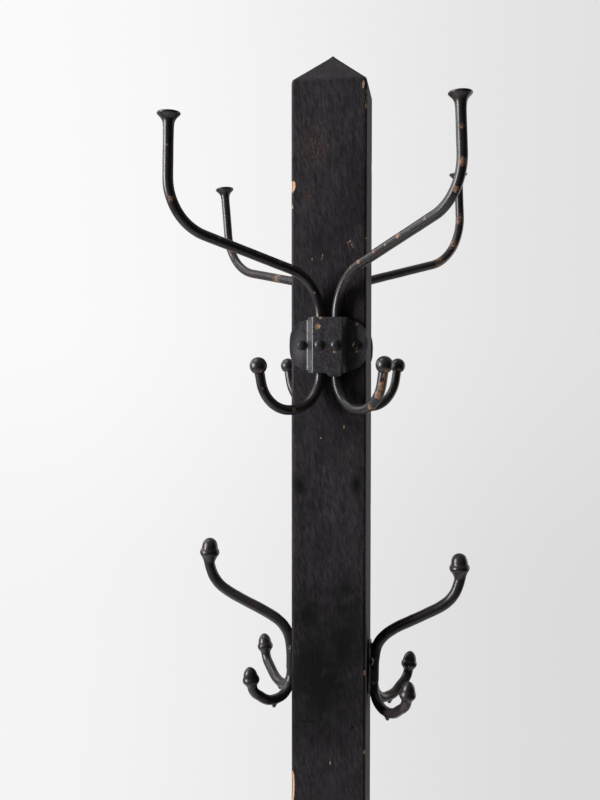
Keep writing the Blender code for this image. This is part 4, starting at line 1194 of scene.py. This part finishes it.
def make_object():
    keep(make_post(), "post")
    keep(make_foot("foot_beam_lower", 0.0, True), "foot_beam_lower")
    keep(make_foot("foot_beam_upper", math.pi / 2, False), "foot_beam_upper")
    for name, turn in FOUR_WAYS.items():
        keep(make_brace(name, turn), "brace_" + name)
        keep(make_pad(name), "foot_pad_" + name)
    make_foot_fasteners()
    for node in ("post_lag_bolt", "post_lag_washer"):
        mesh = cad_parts[node].data
        for index in range(len(mesh.materials)):
            mesh.materials[index] = MATERIALS["bright"]
    for name, face in (("front", -1), ("back", 1)):
        keep(make_plate(name, face), name + "_hook_plate")
        make_plate_fasteners(name, face)
    for seed, (name, shape) in enumerate(RODS.items()):
        make_rod(name, shape, 10.0 + 3 * seed)
    make_casting("left", -1, 31.0)
    make_casting("right", 1, 37.0)


# === Room ===

def make_floor():
    bm = bmesh.new()
    bmesh.ops.create_circle(bm, cap_ends=True, segments=128, radius=1.55)
    mesh = bpy.data.meshes.new("floor")
    bm.to_mesh(mesh)
    bm.free()
    g = Graph("floor_paper")
    fibre = g.noise(300.0, 4.0)
    colour = g.mix(g.levels(g.noise(4.0), 0.3, 0.7), (0.80, 0.80, 0.79), (0.84, 0.84, 0.83))
    g.finish(colour, g.levels(fibre, 0.3, 0.7, 0.75, 0.9), g.bump(fibre, 0.1, 0.0004))
    floor = link("floor", mesh, g.material)


def make_world():
    """A pale backdrop, brighter to the left, and a soft room light, strong from the left and behind."""
    world = bpy.data.worlds.new("studio")
    bpy.context.scene.world = world
    world.use_nodes = True
    tree = world.node_tree
    tree.nodes.clear()

    def node(kind, values=None, **settings):
        made = tree.nodes.new(kind)
        for key, value in settings.items():
            setattr(made, key, value)
        for key, value in (values or {}).items():
            if isinstance(value, bpy.types.NodeSocket):
                tree.links.new(value, made.inputs[key])
            else:
                made.inputs[key].default_value = value
        return made

    direction = node("ShaderNodeTexCoord").outputs["Generated"]
    parts = node("ShaderNodeSeparateXYZ", {"Vector": direction}).outputs

    def share(value, low, high, out_low, out_high):
        return node("ShaderNodeMapRange", {"Value": value, "From Min": low, "From Max": high,
                                           "To Min": out_low,
                                           "To Max": out_high}, interpolation_type='SMOOTHSTEP').outputs[0]

    def add(first, second):
        return node("ShaderNodeMath", {0: first, 1: second}, operation='ADD').outputs[0]

    backdrop = add(share(parts[0], -0.40, 0.20, 0.96, 0.755), share(parts[2], -0.25, 0.05, -0.055, 0.0))
    lit = add(share(parts[0], -1.0, 0.0, 0.22, 0.0), share(parts[1], -0.1, 0.9, 0.020, 0.44))
    lit = add(lit, share(parts[2], 0.15, 0.95, 0.0, 0.25))
    seen = node("ShaderNodeBackground", {"Color": (1.0, 1.0, 1.0, 1.0), "Strength": backdrop})
    unseen = node("ShaderNodeBackground", {"Color": (1.0, 0.965, 0.94, 1.0), "Strength": lit})
    ray = node("ShaderNodeLightPath").outputs["Is Camera Ray"]
    both = node("ShaderNodeMixShader", {0: ray, 1: unseen.outputs[0], 2: seen.outputs[0]})
    node("ShaderNodeOutputWorld", {"Surface": both.outputs[0]})


def add_light(name, place, target, size, power, colour=(1.0, 1.0, 1.0)):
    light = bpy.data.lights.new(name, 'AREA')
    light.shape = 'RECTANGLE'
    light.size, light.size_y = size
    light.energy = power
    light.color = colour
    obj = bpy.data.objects.new(name, light)
    bpy.context.scene.collection.objects.link(obj)
    obj.location = place
    obj.rotation_euler = (Vector(target) - Vector(place)).to_track_quat('-Z', 'Y').to_euler()
    obj.visible_camera = False


def make_lights():
    middle = (0, 0, SHOULDER_Z - 0.35)
    add_light("window", (-2.17, -1.25, SHOULDER_Z - 0.02), middle, (0.80, 1.4), 86.0)
    add_light("left_wall", (-2.20, 0.80, SHOULDER_Z + 0.65), middle, (1.2, 1.3), 14.0)
    add_light("overhead", (-1.15, -0.25, SHOULDER_Z + 1.75), middle, (1.1, 1.1), 20.0)
    add_light("fill", (1.9, 1.4, 1.2), (0, 0, 0.8), (1.4, 1.4), 9.0, (1.0, 0.96, 0.93))


def make_camera():
    data = bpy.data.cameras.new("camera")
    data.lens = 45.0
    data.sensor_width = 36.0
    data.sensor_fit = 'AUTO'
    camera = bpy.data.objects.new("camera", data)
    bpy.context.scene.collection.objects.link(camera)
    camera.location = (0.1263, -1.2149, SHOULDER_Z - 0.3248)
    camera.rotation_euler = (math.radians(90 - 2.418), 0.0, math.radians(7.80))
    bpy.context.scene.camera = camera


make_camera()
make_world()
make_lights()
make_floor()
make_object()
bpy.context.scene.view_settings.view_transform = 'Standard'
